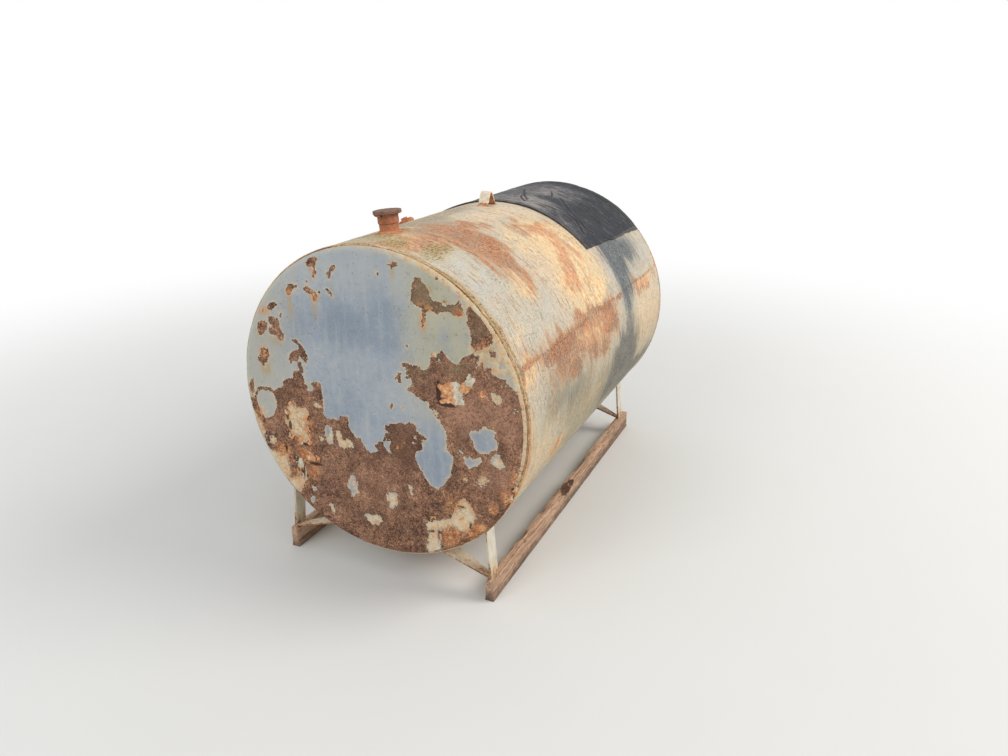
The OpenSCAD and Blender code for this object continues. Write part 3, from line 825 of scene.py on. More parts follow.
def flake_recipe():
    """Scatters small six-sided flakes over the base mesh where its attribute lets them stick."""
    r = Recipe("loose flakes", density=4000.0, size=0.004, seed=1.0)
    chance = r.node("GeometryNodeInputNamedAttribute", {"Name": "flaky"}, data_type="FLOAT")
    scatter = r.node("GeometryNodeDistributePointsOnFaces",
                     {"Mesh": r.given("Geometry"), "Density": r.given("density") * chance,
                      "Seed": r.given("seed")})
    points = scatter.socket.node
    chip = r.node("GeometryNodeMeshCone",
                  {"Vertices": 7, "Side Segments": 1, "Radius Top": r.given("size") * 0.82,
                   "Radius Bottom": r.given("size"), "Depth": r.given("size") * 0.16}, fill_type="NGON")
    size = r.node("FunctionNodeRandomValue", {0: (0.35, 0.3, 0.7), 1: (1.35, 1.0, 1.6), "Seed": 3},
                  data_type="FLOAT_VECTOR")
    spin = r.node("FunctionNodeRandomValue", {0: (-0.22, -0.22, -3.1), 1: (0.22, 0.22, 3.1), "Seed": 5},
                  data_type="FLOAT_VECTOR")
    turned = r.node("FunctionNodeRotateRotation", {0: Value(r, points.outputs["Rotation"]), 1: spin},
                    rotation_space="LOCAL")
    chips = r.node("GeometryNodeInstanceOnPoints", {"Points": Value(r, points.outputs["Points"]),
                                                    "Instance": chip, "Rotation": turned, "Scale": size})
    chips = r.node("GeometryNodeRealizeInstances", {0: chips})
    place = r.node("GeometryNodeInputPosition")
    bend = r.node("ShaderNodeTexNoise", {"Vector": place, "Scale": 260.0, "Detail": 1.0}, output="Color")
    bend = r.node("ShaderNodeVectorMath", {0: bend, 1: (0.5, 0.5, 0.5)}, operation="SUBTRACT")
    chips = r.node("GeometryNodeSetPosition",
                   {"Geometry": chips, "Offset": r.scaled(bend, r.given("size") * 0.7)})
    return r.close(chips)


def line_mesh(name, *lines):
    """A base mesh of open or closed lines, each (points, closed)."""
    points, edges, start = [], [], 0
    for line, closed in lines:
        count = len(line)
        points.extend(np.asarray(line).tolist())
        edges.extend((start + i, start + i + 1) for i in range(count - 1))
        if closed:
            edges.append((start + count - 1, start))
        start += count
    return mesh_of(name, points, edges=edges)


# ---------------------------------------------------------------- heads

# Outlines in millimetres on the front head, across and up from its middle: where the paint is gone, and
# what paint is left inside those patches
BARE_PATCHES = {
    "crown spot": [(-252, 548), (-238, 554), (-215, 555), (-210, 542), (-216, 525), (-224, 508), (-242, 508),
        (-256, 515), (-258, 531)],
    "crown drip": [(-226, 504), (-215, 499), (-221, 485), (-228, 479), (-230, 466), (-238, 471), (-234, 485)],
    "crown slash": [(-142, 528), (-134, 520), (-142, 508), (-154, 502), (-154, 488), (-161, 475), (-170, 479),
        (-166, 490), (-172, 496), (-160, 508), (-152, 518)],
    "left hook": [(-354, 432), (-338, 438), (-322, 436), (-310, 438), (-305, 428), (-322, 424), (-332, 418),
        (-335, 408), (-345, 398), (-358, 392), (-360, 408), (-358, 420), (-351, 425)],
    "left wing": [(-282, 425), (-270, 435), (-255, 430), (-238, 424), (-225, 412), (-221, 402), (-226, 390),
        (-238, 382), (-246, 395), (-245, 405), (-260, 410), (-274, 412)],
    "wing dot": [(-269, 456), (-261, 455), (-260, 450), (-266, 449)],
    "wing tip": [(-218, 422), (-208, 424), (-208, 416), (-216, 418)],
    "small arc": [(-191, 438), (-178, 438), (-168, 434), (-158, 422), (-150, 411), (-158, 408), (-166, 415),
        (-174, 425), (-185, 434)],
    "rim bean": [(-458, 338), (-445, 352), (-425, 360), (-410, 356), (-408, 345), (-421, 340), (-435, 332),
        (-448, 324), (-455, 326)],
    "rim dot": [(-482, 322), (-474, 324), (-476, 314), (-482, 315)],
    "rim hook": [(-402, 321), (-394, 319), (-394, 309), (-399, 305), (-402, 290), (-408, 294), (-405, 308)],
    "rim lobe right": [(-460, 296), (-440, 298), (-422, 294), (-411, 290), (-412, 270), (-410, 255),
        (-402, 242), (-394, 238), (-395, 222), (-408, 208), (-421, 215), (-428, 228), (-445, 225), (-462, 228),
        (-465, 242), (-460, 255), (-442, 265), (-448, 270), (-461, 280)],
    "rim lobe left": [(-498, 279), (-480, 278), (-468, 265), (-471, 252), (-478, 240), (-490, 232), (-502, 222),
        (-510, 218), (-519, 228), (-516, 238), (-522, 248), (-518, 260), (-508, 270)],
    "rim speckle": [(-500, 168), (-479, 165), (-478, 152), (-468, 142), (-485, 130), (-490, 110), (-502, 105),
        (-508, 88), (-515, 100), (-530, 110), (-532, 122), (-525, 135), (-512, 148), (-510, 160)],
    "left pillar": [(-358, 218), (-340, 225), (-330, 212), (-315, 202), (-304, 185), (-294, 165), (-292, 148),
        (-302, 130), (-315, 145), (-328, 158), (-338, 152), (-338, 138), (-360, 135), (-375, 122), (-382, 138),
        (-379, 158), (-362, 170), (-348, 178), (-332, 180), (-328, 190), (-330, 202), (-345, 208)],
    "pillar foot": [(-340, 138), (-325, 132), (-322, 118), (-318, 105), (-315, 90), (-342, 90), (-338, 108),
        (-342, 120)],
    "rim patch": [(-600, -10), (-585, 15), (-580, 23), (-568, 30), (-568, -10), (-575, -35), (-585, -38),
        (-595, -25)],
    "lower left": [(-465, -2), (-453, 8), (-435, 10), (-423, 25), (-420, 50), (-410, 45), (-395, 55),
        (-370, 60), (-368, 85), (-360, 93), (-343, 98), (-330, 90), (-320, 70), (-320, 50), (-308, 40),
        (-310, 25), (-298, 18), (-283, 20), (-278, 35), (-285, 55), (-270, 60), (-243, 63), (-241, 35),
        (-238, 10), (-240, -17), (-243, -40), (-243, -72), (-228, -80), (-203, -80), (-185, -77), (-168, -75),
        (-165, -60), (-128, -57), (-126, -80), (-128, -100), (-110, -122), (-100, -135), (-78, -137),
        (-75, -155), (-58, -176), (-34, -192), (-15, -182), (10, -182), (70, -182), (160, -170), (185, -220),
        (220, -270), (255, -278), (270, -330), (270, -670), (-330, -670), (-500, -470), (-610, -270),
        (-625, -110), (-612, -20), (-592, -45), (-574, -52), (-567, -28), (-552, -6), (-525, 2), (-492, 2),
        (-474, -8)],
    "middle": [(35, -57), (50, -60), (60, -47), (80, -50), (100, -37), (120, -37), (132, -37), (140, -30),
        (165, -30), (170, -52), (187, -70), (200, -72), (212, -82), (195, -92), (192, -110), (190, -130),
        (167, -140), (162, -155), (160, -185), (70, -200), (-20, -192), (0, -172), (-15, -155), (0, -140),
        (20, -130), (30, -110), (37, -92), (60, -88), (37, -78)],
    "upper arm": [(187, 513), (210, 515), (220, 498), (235, 490), (245, 470), (252, 445), (272, 438),
        (300, 435), (325, 433), (345, 440), (357, 455), (367, 438), (372, 418), (370, 403), (345, 400),
        (320, 410), (295, 408), (270, 395), (240, 410), (228, 394), (222, 370), (219, 350), (215, 338),
        (210, 360), (214, 385), (212, 410), (187, 418), (170, 433), (175, 455), (177, 485)],
    "right lobe": [(385, 433), (400, 435), (430, 428), (450, 413), (470, 393), (475, 365), (482, 325),
        (470, 310), (457, 310), (430, 290), (415, 285), (400, 305), (400, 330), (395, 360), (385, 380),
        (387, 410)],
    "right spot": [(472, 290), (488, 292), (490, 280), (476, 274)],
    "lower right": [(125, 198), (145, 200), (170, 195), (190, 200), (200, 185), (220, 185), (235, 200),
        (240, 220), (245, 243), (265, 250), (285, 265), (300, 250), (312, 235), (340, 225), (355, 235),
        (370, 255), (395, 265), (407, 273), (427, 253), (420, 230), (440, 235), (452, 223), (470, 235),
        (472, 215), (500, 200), (525, 200), (530, 185), (550, 170), (575, 155), (589, 135), (610, 70),
        (610, -10), (600, -130), (560, -250), (470, -390), (380, -480), (220, -580), (170, -370), (230, -285),
        (250, -280), (260, -275), (285, -250), (305, -215), (312, -190), (317, -155), (320, -130), (305, -115),
        (292, -110), (297, -80), (295, -45), (282, -15), (270, 5), (260, 10), (247, 35), (230, 45), (227, 65),
        (200, 68), (175, 85), (145, 95), (142, 105), (165, 125), (160, 143), (137, 145), (142, 160), (142, 185),
        (122, 188)],
    "arm chip": [(95, 142), (108, 158), (120, 160), (114, 145), (114, 122), (108, 120), (102, 135), (92, 132)],
    "crown star": [(85, 550), (100, 552), (108, 560), (124, 561), (120, 550), (105, 542), (102, 535), (95, 545)],
    "crown bead": [(35, 518), (48, 518), (48, 510), (41, 506)],
    "rim chips": [(268, 528), (280, 535), (288, 530), (280, 518), (272, 515)],
    "grey dot": [(140, 268), (150, 269), (152, 262), (142, 260)],
    "low dots": [(60, 18), (70, 32), (75, 28), (69, 10)],
    "low dot": [(112, 28), (122, 28), (122, 21), (115, 20)],
}
PAINT_REMAINS = {
    "oval": [(-555, -25), (-530, -12), (-500, -10), (-478, -20), (-468, -45), (-465, -75), (-485, -110),
        (-505, -127), (-535, -132), (-550, -115), (-560, -80), (-563, -50)],
    "left flaking": [(-420, -72), (-396, -37), (-379, -34), (-369, -54), (-354, -56), (-320, -54), (-316, -79),
        (-321, -111), (-330, -148), (-313, -171), (-331, -206), (-351, -201), (-369, -187), (-397, -188),
        (-417, -169), (-429, -144), (-430, -114)],
    "left fleck": [(-285, -22), (-268, -20), (-248, -30), (-250, -42), (-280, -50)],
    "left drop": [(-273, -165), (-260, -160), (-248, -170), (-250, -182), (-265, -187)],
    "left block": [(-520, -215), (-505, -207), (-487, -215), (-488, -238), (-502, -247), (-520, -240)],
    "tongue a": [(-240, -115), (-225, -108), (-205, -115), (-202, -150), (-210, -190), (-230, -195),
        (-242, -170), (-244, -140)],
    "tongue b": [(-190, -130), (-175, -122), (-165, -135), (-160, -160), (-130, -150), (-110, -160),
        (-115, -185), (-150, -192), (-185, -190)],
    "left rim": [(-590, -115), (-570, -125), (-545, -160), (-538, -200), (-542, -232), (-555, -235),
        (-570, -200), (-585, -160)],
    "lower left rim": [(-575, -225), (-549, -240), (-522, -272), (-470, -271), (-435, -277), (-431, -332),
        (-432, -379), (-378, -358), (-353, -315), (-349, -370), (-387, -435), (-422, -450), (-468, -420),
        (-517, -350), (-555, -280)],
    "left curl": [(-400, -279), (-379, -279), (-372, -305), (-357, -334), (-365, -355), (-375, -329),
        (-393, -315)],
    "foot islands": [(-330, -400), (-305, -395), (-308, -415), (-327, -420)],
    "foot island": [(-342, -450), (-325, -440), (-320, -460), (-332, -480), (-344, -470)],
    "grey island": [(442, 13), (480, 5), (492, -5), (487, -25), (500, -40), (492, -70), (475, -82), (452, -95),
        (425, -97), (405, -80), (402, -55), (385, -30), (395, -15), (425, -10)],
    "grey teeth": [(367, -115), (375, -122), (390, -112), (398, -125), (410, -122), (432, -110), (435, -130),
        (415, -150), (385, -167), (367, -155), (362, -130)],
    "pale island": [(465, -115), (485, -87), (505, -85), (512, -105), (525, -130), (495, -142), (470, -130)],
    "cream drop": [(427, -187), (450, -182), (462, -200), (450, -215), (432, -227), (420, -220), (417, -205)],
    "cream fleck": [(357, -205), (372, -203), (377, -215), (365, -223)],
    "cream dot": [(342, -100), (355, -97), (362, -110), (355, -122), (345, -118)],
    "rim dot": [(555, 95), (570, 98), (577, 88), (568, 78), (557, 82)],
    "curl bed": [(470, 140), (485, 143), (510, 138), (515, 120), (505, 102), (488, 103), (478, 120)],
    "inner drop": [(240, 40), (255, 43), (265, 30), (260, 18), (245, 22)],
    "inner fleck": [(263, 235), (278, 238), (282, 228), (270, 218)],
    "lower cream": [(326, -328), (341, -305), (366, -292), (379, -301), (397, -326), (409, -361), (401, -388),
        (391, -415), (372, -430), (347, -441), (328, -431), (312, -420), (294, -440), (274, -447), (256, -450),
        (239, -459), (205, -470), (190, -440), (235, -415), (257, -407), (285, -397), (307, -387), (317, -360)],
    "foot cream": [(205, -470), (229, -467), (256, -465), (265, -488), (254, -513), (266, -528), (253, -548),
        (222, -559), (196, -550), (200, -510)],
    "rim cream": [(594, -153), (584, -146), (575, -171), (567, -191), (553, -213), (540, -239), (529, -260),
        (540, -262), (558, -235), (576, -203), (589, -177)],
    "middle curl": [(25, -130), (38, -120), (60, -120), (62, -130), (52, -140), (50, -152), (58, -172),
        (40, -172), (30, -155), (25, -142)],
    "middle fleck": [(158, -82), (168, -78), (176, -88), (172, -96), (162, -95)],
    "middle dot": [(150, -105), (162, -101), (168, -109), (160, -118), (151, -112)],
    "hidden a": [(-150, -330), (-138, -312), (-124, -300), (-112, -308), (-115, -326), (-104, -334),
        (-108, -360), (-98, -378), (-118, -384), (-128, -405), (-142, -396), (-138, -378), (-154, -366)],
    "hidden b": [(25, -355), (38, -338), (56, -340), (60, -328), (78, -346), (70, -366), (80, -384), (62, -396),
        (52, -414), (34, -408), (38, -388), (22, -376)],
    "hidden c": [(-84, -470), (-62, -458), (-46, -464), (-30, -452), (-6, -462), (4, -478), (-12, -486),
        (-16, -502), (-38, -498), (-56, -512), (-66, -494)],
    "hidden d": [(120, -300), (132, -290), (146, -296), (142, -312), (150, -326), (136, -334), (126, -322)],
    "hidden e": [(-250, -460), (-232, -452), (-226, -470), (-214, -482), (-232, -496), (-246, -484)],
}

# Spots on the front head: across, up, half width and half height in millimetres from its middle, and
# strength. Fresh orange rust, olive growth, washed runs, paler rust, paint left cream with orange stains,
# and painted shadow in the gaps under lifted paint and beside the curls
HEAD_SPOTS = {
    "fresh": [(-365, -135, 75, 95, 0.95), (-455, -275, 60, 60, 0.8), (-345, -270, 60, 40, 0.85),
        (-320, -330, 50, 50, 0.7), (-400, -390, 60, 70, 0.7), (-560, -150, 30, 80, 0.7),
        (-235, 398, 26, 22, 0.8), (-350, 405, 18, 20, 0.8), (-500, 150, 34, 40, 0.75), (-480, 318, 34, 22, 0.7),
        (-345, 140, 30, 40, 0.35), (-235, 500, 20, 60, 0.5), (345, -330, 70, 60, 0.75),
        (395, -420, 60, 50, 0.8), (300, -460, 70, 60, 0.75), (570, -200, 26, 70, 1), (535, -250, 34, 40, 0.9),
        (475, -315, 34, 30, 0.7), (430, -400, 50, 30, 0.75), (240, 412, 26, 14, 0.8), (352, 408, 28, 16, 0.95),
        (205, 424, 18, 10, 0.8), (452, 318, 24, 24, 0.8), (425, 295, 40, 26, 0.7), (440, 130, 26, 26, 0.75),
        (285, 130, 30, 40, 0.6), (400, 160, 30, 30, 0.55), (255, 485, 18, 18, 0.6), (275, 535, 22, 16, 0.75),
        (350, 520, 40, 14, 0.5), (105, -135, 50, 40, 0.55), (300, 60, 26, 16, 0.35), (410, -60, 40, 60, 0.25),
        (100, 560, 24, 14, 0.5), (440, -200, 30, 22, 0.6), (365, -205, 22, 22, 0.55), (216, 360, 12, 36, 1)],
    "olive": [(225, 470, 70, 70, 0.9), (300, 425, 90, 40, 0.75), (430, 370, 60, 80, 0.55),
        (290, 300, 110, 90, 0.55), (350, 215, 70, 50, 0.7), (190, 185, 70, 60, 0.55), (145, 380, 50, 90, 0.5),
        (165, 260, 40, 70, 0.35), (-30, 560, 130, 40, 0.25)],
    "wash": [(-352, 350, 16, 60, 0.75), (-240, 360, 20, 60, 0.6), (-152, 430, 14, 60, 0.35),
        (-505, 230, 30, 40, 0.55), (-430, 205, 50, 30, 0.6), (-500, 95, 28, 46, 1), (100, 525, 14, 45, 0.55),
        (105, 450, 20, 90, 0.25), (-490, 320, 40, 26, 0.6), (215, 370, 26, 60, 0.55), (470, 290, 40, 60, 0.6),
        (480, 200, 30, 50, 0.45), (275, 45, 34, 60, 0.35), (-240, -20, 16, 60, 0.3), (-320, 480, 22, 60, 0.25),
        (520, 130, 30, 30, 0.4), (-290, 40, 26, 26, 0.45), (340, 500, 60, 26, 0.35)],
    "rosy": [(400, 50, 130, 110, 1), (300, 110, 80, 60, 0.7), (545, 60, 60, 120, 1), (480, -170, 90, 70, 0.7),
        (-60, -320, 200, 120, 0.4)],
    "creamy": [(-372, -130, 75, 110, 1), (-560, -180, 40, 90, 0.9), (-505, -225, 30, 30, 0.9),
        (-440, -330, 110, 90, 1), (-262, -175, 26, 26, 0.9), (-268, -30, 36, 26, 0.8),
        (-190, -150, 50, 40, 0.55), (-125, -175, 60, 40, 0.8), (345, -350, 60, 60, 0.85),
        (300, -430, 100, 50, 0.8), (400, -400, 50, 60, 0.8), (565, -200, 40, 70, 1), (440, -204, 36, 34, 0.9),
        (366, -214, 26, 22, 1), (352, -110, 22, 22, 0.9), (568, 88, 26, 22, 0.8), (490, 120, 36, 36, 0.75),
        (275, 30, 26, 26, 0.8), (272, 232, 22, 22, 0.8), (500, -120, 34, 34, 0.45), (450, 300, 50, 60, 0.55),
        (500, 250, 60, 90, 0.4), (165, -88, 30, 40, 0.6), (90, -170, 60, 30, 0.5), (220, -480, 40, 100, 0.7),
        (-395, -275, 30, 40, 1), (-590, -60, 26, 70, 0.8), (-130, -350, 60, 80, 0.35), (50, -370, 60, 60, 0.45),
        (-40, -485, 70, 40, 0.5), (-235, -475, 40, 40, 0.6), (135, -310, 30, 30, 0.6)],
    "gap": [(268, 112, 9, 42, 1), (300, 68, 36, 8, 1), (375, 130, 8, 18, 0.8), (378, 160, 7, 20, 0.8),
        (425, 262, 6, 14, 0.55), (441, 238, 6, 14, 0.55), (458, 318, 6, 15, 0.5), (-418, -98, 8, 24, 1),
        (-408, -142, 8, 20, 0.9), (-392, -290, 14, 9, 1), (-369, -308, 9, 15, 1), (-365, -345, 7, 28, 1),
        (-300, -292, 34, 7, 0.8), (-335, -214, 24, 7, 0.7), (-322, -150, 7, 24, 0.6), (-440, -250, 7, 22, 0.6),
        (556, -214, 6, 20, 0.7), (352, -330, 22, 6, 0.6), (386, -400, 6, 22, 0.6), (250, -480, 6, 24, 0.5)],
}


def head_plate(name, front, finish, mirror=1, turn=0.0):
    """A flat head with its knuckle and flange, and how deep in bare metal each of its points lies."""
    flange = abs(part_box("front_head")[1].y - HEAD_FRONT)
    corner, thick = 0.013, 0.0034
    flat = HEAD_R - corner
    # A square grid pressed into a disc, so that its cells are about the same size
    side = 225
    a, b = np.meshgrid(np.linspace(-1, 1, side), np.linspace(-1, 1, side))
    wide = np.abs(a) > np.abs(b)
    big, small = np.where(wide, a, b), np.where(wide, b, a)
    angle = np.pi / 4 * np.divide(small, big, out=np.zeros_like(big), where=big != 0)
    x = np.where(wide, big * np.cos(angle), big * np.sin(angle)) * flat
    z = np.where(wide, big * np.sin(angle), big * np.cos(angle)) * flat
    points = [spread(x, 0, z).reshape(-1, 3)]
    faces, rim = grid_faces(side, side), border(side, side)
    around = np.arctan2(points[0][rim, 0], points[0][rim, 2])
    section = [(flat + corner * math.sin(t), corner * (1 - math.cos(t)))
               for t in np.radians([9, 18, 28, 38, 48, 58, 68, 79, 90])]
    section += [(HEAD_R, d) for d in (0.0145, 0.016, 0.018, 0.021, 0.03, flange)]
    section += [(HEAD_R - thick, flange), (HEAD_R - thick, corner)]
    last, start = rim, len(points[0])
    for radius, depth in section:
        points.append(spread(radius * np.sin(around), depth, radius * np.cos(around)))
        here = start + np.arange(len(rim))
        faces += np.stack([last, np.roll(last, -1), np.roll(here, -1), here], -1).tolist()
        last, start = here, start + len(rim)
    points.append(np.array([[0, thick + 0.002, 0]]))
    faces += [[int(p), int(q), start] for p, q in zip(last, np.roll(last, -1))]
    points = np.concatenate(points)

    across, up = points[:, 0] * 1000, points[:, 2] * 1000
    mapped = (mirror * (across * math.cos(turn) - up * math.sin(turn)), across * math.sin(turn)
              + up * math.cos(turn))
    bare = np.minimum(depth_in(*mapped, BARE_PATCHES.values()), -depth_in(*mapped, PAINT_REMAINS.values()))
    reach, depth = np.hypot(points[:, 0], points[:, 2]), points[:, 1]
    way = np.degrees(np.arctan2(points[:, 0], points[:, 2]))
    ragged = rough(spread(way / 7, 0, 3 + front), 1.0, 5, 3)
    band = (depth - 0.0112) * 1000 + ragged * 4.0
    low_sides = np.maximum(soft_step(way, 96, 116), soft_step(-way, 128, 142))
    bitten = 6 * ragged - 5 + 0.10 * np.clip(bare, -30, 30) + 9 * low_sides
    knuckle = soft_step(reach, flat - 0.004, flat + 0.003)
    bare = bare * (1 - knuckle) + np.maximum(bitten, band) * knuckle

    face = (reach < flat + 0.0125) & (depth < 0.02)
    give = soft_step(reach, flat + 0.006, flat * 0.90)
    dish = 0.0016 + 0.0016 * rough(points + front, 0.33, 21, 2) + 0.0007 * rough(points, 0.07, 22, 2)
    eaten = soft_step(bare, -1.5, 2.5) * (0.0005 + 0.0006 * rough(points, 0.012, 23, 2))
    moved = depth + np.where(face, give * dish + soft_step(reach, HEAD_R, flat) * eaten, 0)
    points[:, 1] = front + moved if front < 0 else front - moved
    points[:, 2] += AXIS_H
    mesh = outward(mesh_of(name, points, faces))
    give_attribute(mesh, "bare", bare)
    give_attribute(mesh, "rim", soft_step(reach, flat - 0.010, flat + 0.001))
    for wear, spots in HEAD_SPOTS.items():
        strength = blots(*mapped, spots)
        if wear == "fresh":
            strength = np.maximum(strength, 0.6 * soft_step(band, -6, 3) * (reach > flat + 0.002))
        give_attribute(mesh, wear, strength)
    return piece(name, mesh, finish), bare


# Paint that lifts off the front head: across and up of the edge that still holds in millimetres,
# width, length, direction the strip runs in (degrees from up, to the right), how far it stands
# off in millimetres, curl at its end in degrees, and where along it the scorched part starts
CURLS = [
    (364, 118, 84, 88, -97, 8.5, 34, 0.42), (404, 192, 32, 46, -150, 6, 30, 0.9),
    (386, 160, 36, 42, -144, 5, 50, -0.3), (458, 138, 26, 30, -110, 4.5, 60, 0.3),
    (462, 322, 15, 36, 165, 5, 90, 0.35), (420, 262, 12, 34, 135, 4, 80, 0.3),
    (444, 246, 13, 26, 150, 4, 80, 0.4), (-384, -276, 22, 62, 160, 6.5, 60, 0.85),
    (-372, -330, 13, 46, 172, 5, 60, 0.9), (-338, -272, 26, 48, 80, 6, 70, 0.2),
    (-300, -262, 22, 30, 110, 5, 80, 0.2), (-350, -210, 30, 28, -50, 4.5, 60, 0.3),
    (-428, -92, 22, 24, 70, 4, 70, 0.2), (-398, -60, 26, 24, 30, 4, 60, 0.1),
    (-335, -150, 30, 26, 60, 5, 70, 0.1), (-345, -95, 26, 30, 100, 4.5, 60, 0.3),
    (-330, -195, 24, 26, 130, 5, 80, 0.1), (-405, -180, 28, 22, -160, 4, 60, 0.4),
    (545, -235, 18, 34, 170, 4, 70, 0.5), (566, -196, 20, 30, -170, 4.5, 70, 0.3),
    (300, 428, 18, 20, 10, 3.5, 80, 0.5), (100, -150, 22, 22, -60, 3.5, 90, 0.4),
    (328, -350, 26, 24, 60, 4, 90, 0.3), (350, -436, 24, 22, 150, 4, 80, 0.2),
    (232, -416, 26, 20, -20, 3.5, 80, 0.2), (262, 250, 16, 18, -100, 3, 80, 0.4),
    (-452, -300, 26, 24, -40, 4, 70, 0.2)
]


def paint_curls(finish):
    """Strips of old paint that have let go at one end and lifted outwards."""
    points, faces, singed = [], [], []
    rows, columns, thick = 24, 16, 0.0007
    t = np.linspace(0, 1, rows)
    tt, ww = np.meshgrid(t, np.linspace(-0.5, 0.5, columns), indexing="ij")
    for number, (across, up, width, length, heading, stand, curl, scorch) in enumerate(CURLS):
        bend = np.radians(4 + 9 * t) * (t > 0) + np.radians(curl) * soft_step(t, 0.62, 1.05)
        step, turn = length * MM / (rows - 1), (bend[1:] + bend[:-1]) / 2
        along, lift = (np.concatenate([[0], np.cumsum(part * step)]) for part in (np.cos(turn), np.sin(turn)))
        lift *= stand * MM / lift.max()
        jag = rough(spread(tt * 3.2, np.sign(ww) * 2.0, number * 5.3), 0.6, 31, 4)
        taper = (1 - 0.18 * tt ** 2) * (1 + 0.34 * jag)
        end = 1 + 0.30 * rough(spread(ww * 6, 0, number * 3.1), 0.7, 33, 3) * tt
        start = 0.10 * rough(spread(ww * 7, 0, number * 4.7), 0.7, 32, 3) * (1 - tt)
        run = along[:, None] * end + start * length * MM
        rise = lift[:, None] * (1 + 0.35 * ww) + 0.0012 * tt * np.sin(ww * 7 + number)
        side = ww * width * MM * taper
        sin, cos = math.sin(math.radians(heading)), math.cos(math.radians(heading))
        x = across * MM + run * sin + side * cos
        z = up * MM + AXIS_H + run * cos - side * sin
        wave = 0.0007 * rough(spread(x, rise, z), 0.010, 35, 2)
        y = HEAD_FRONT + 0.0024 - np.clip(rise, 0, 0.0088) + wave
        top = spread(x, y, z).reshape(-1, 3)
        slope = np.repeat(bend, columns)
        normal = spread(-np.sin(slope) * sin, -np.cos(slope), -np.sin(slope) * cos)
        faces += sheet_faces(rows, columns, sum(len(part) for part in points))
        points += [top, top - normal * thick]
        singed += soft_step(tt, scorch - 0.22, scorch + 0.22).ravel().tolist() + [1.0] * len(top)
    mesh = outward(mesh_of("paint_curls", np.concatenate(points), faces), merge=0)
    give_attribute(mesh, "singed", singed)
    return piece("paint_curls", mesh, finish)


def loose_flakes(name, base, chance, recipe, finish, density, size, seed):
    """Scattered flakes over a copy of a piece's mesh, where chance lets them."""
    ground = base.data.copy()
    give_attribute(ground, "flaky", chance)
    return recipe.make(name, ground, finish, density=density, size=size, seed=seed)


# ---------------------------------------------------------------- shell

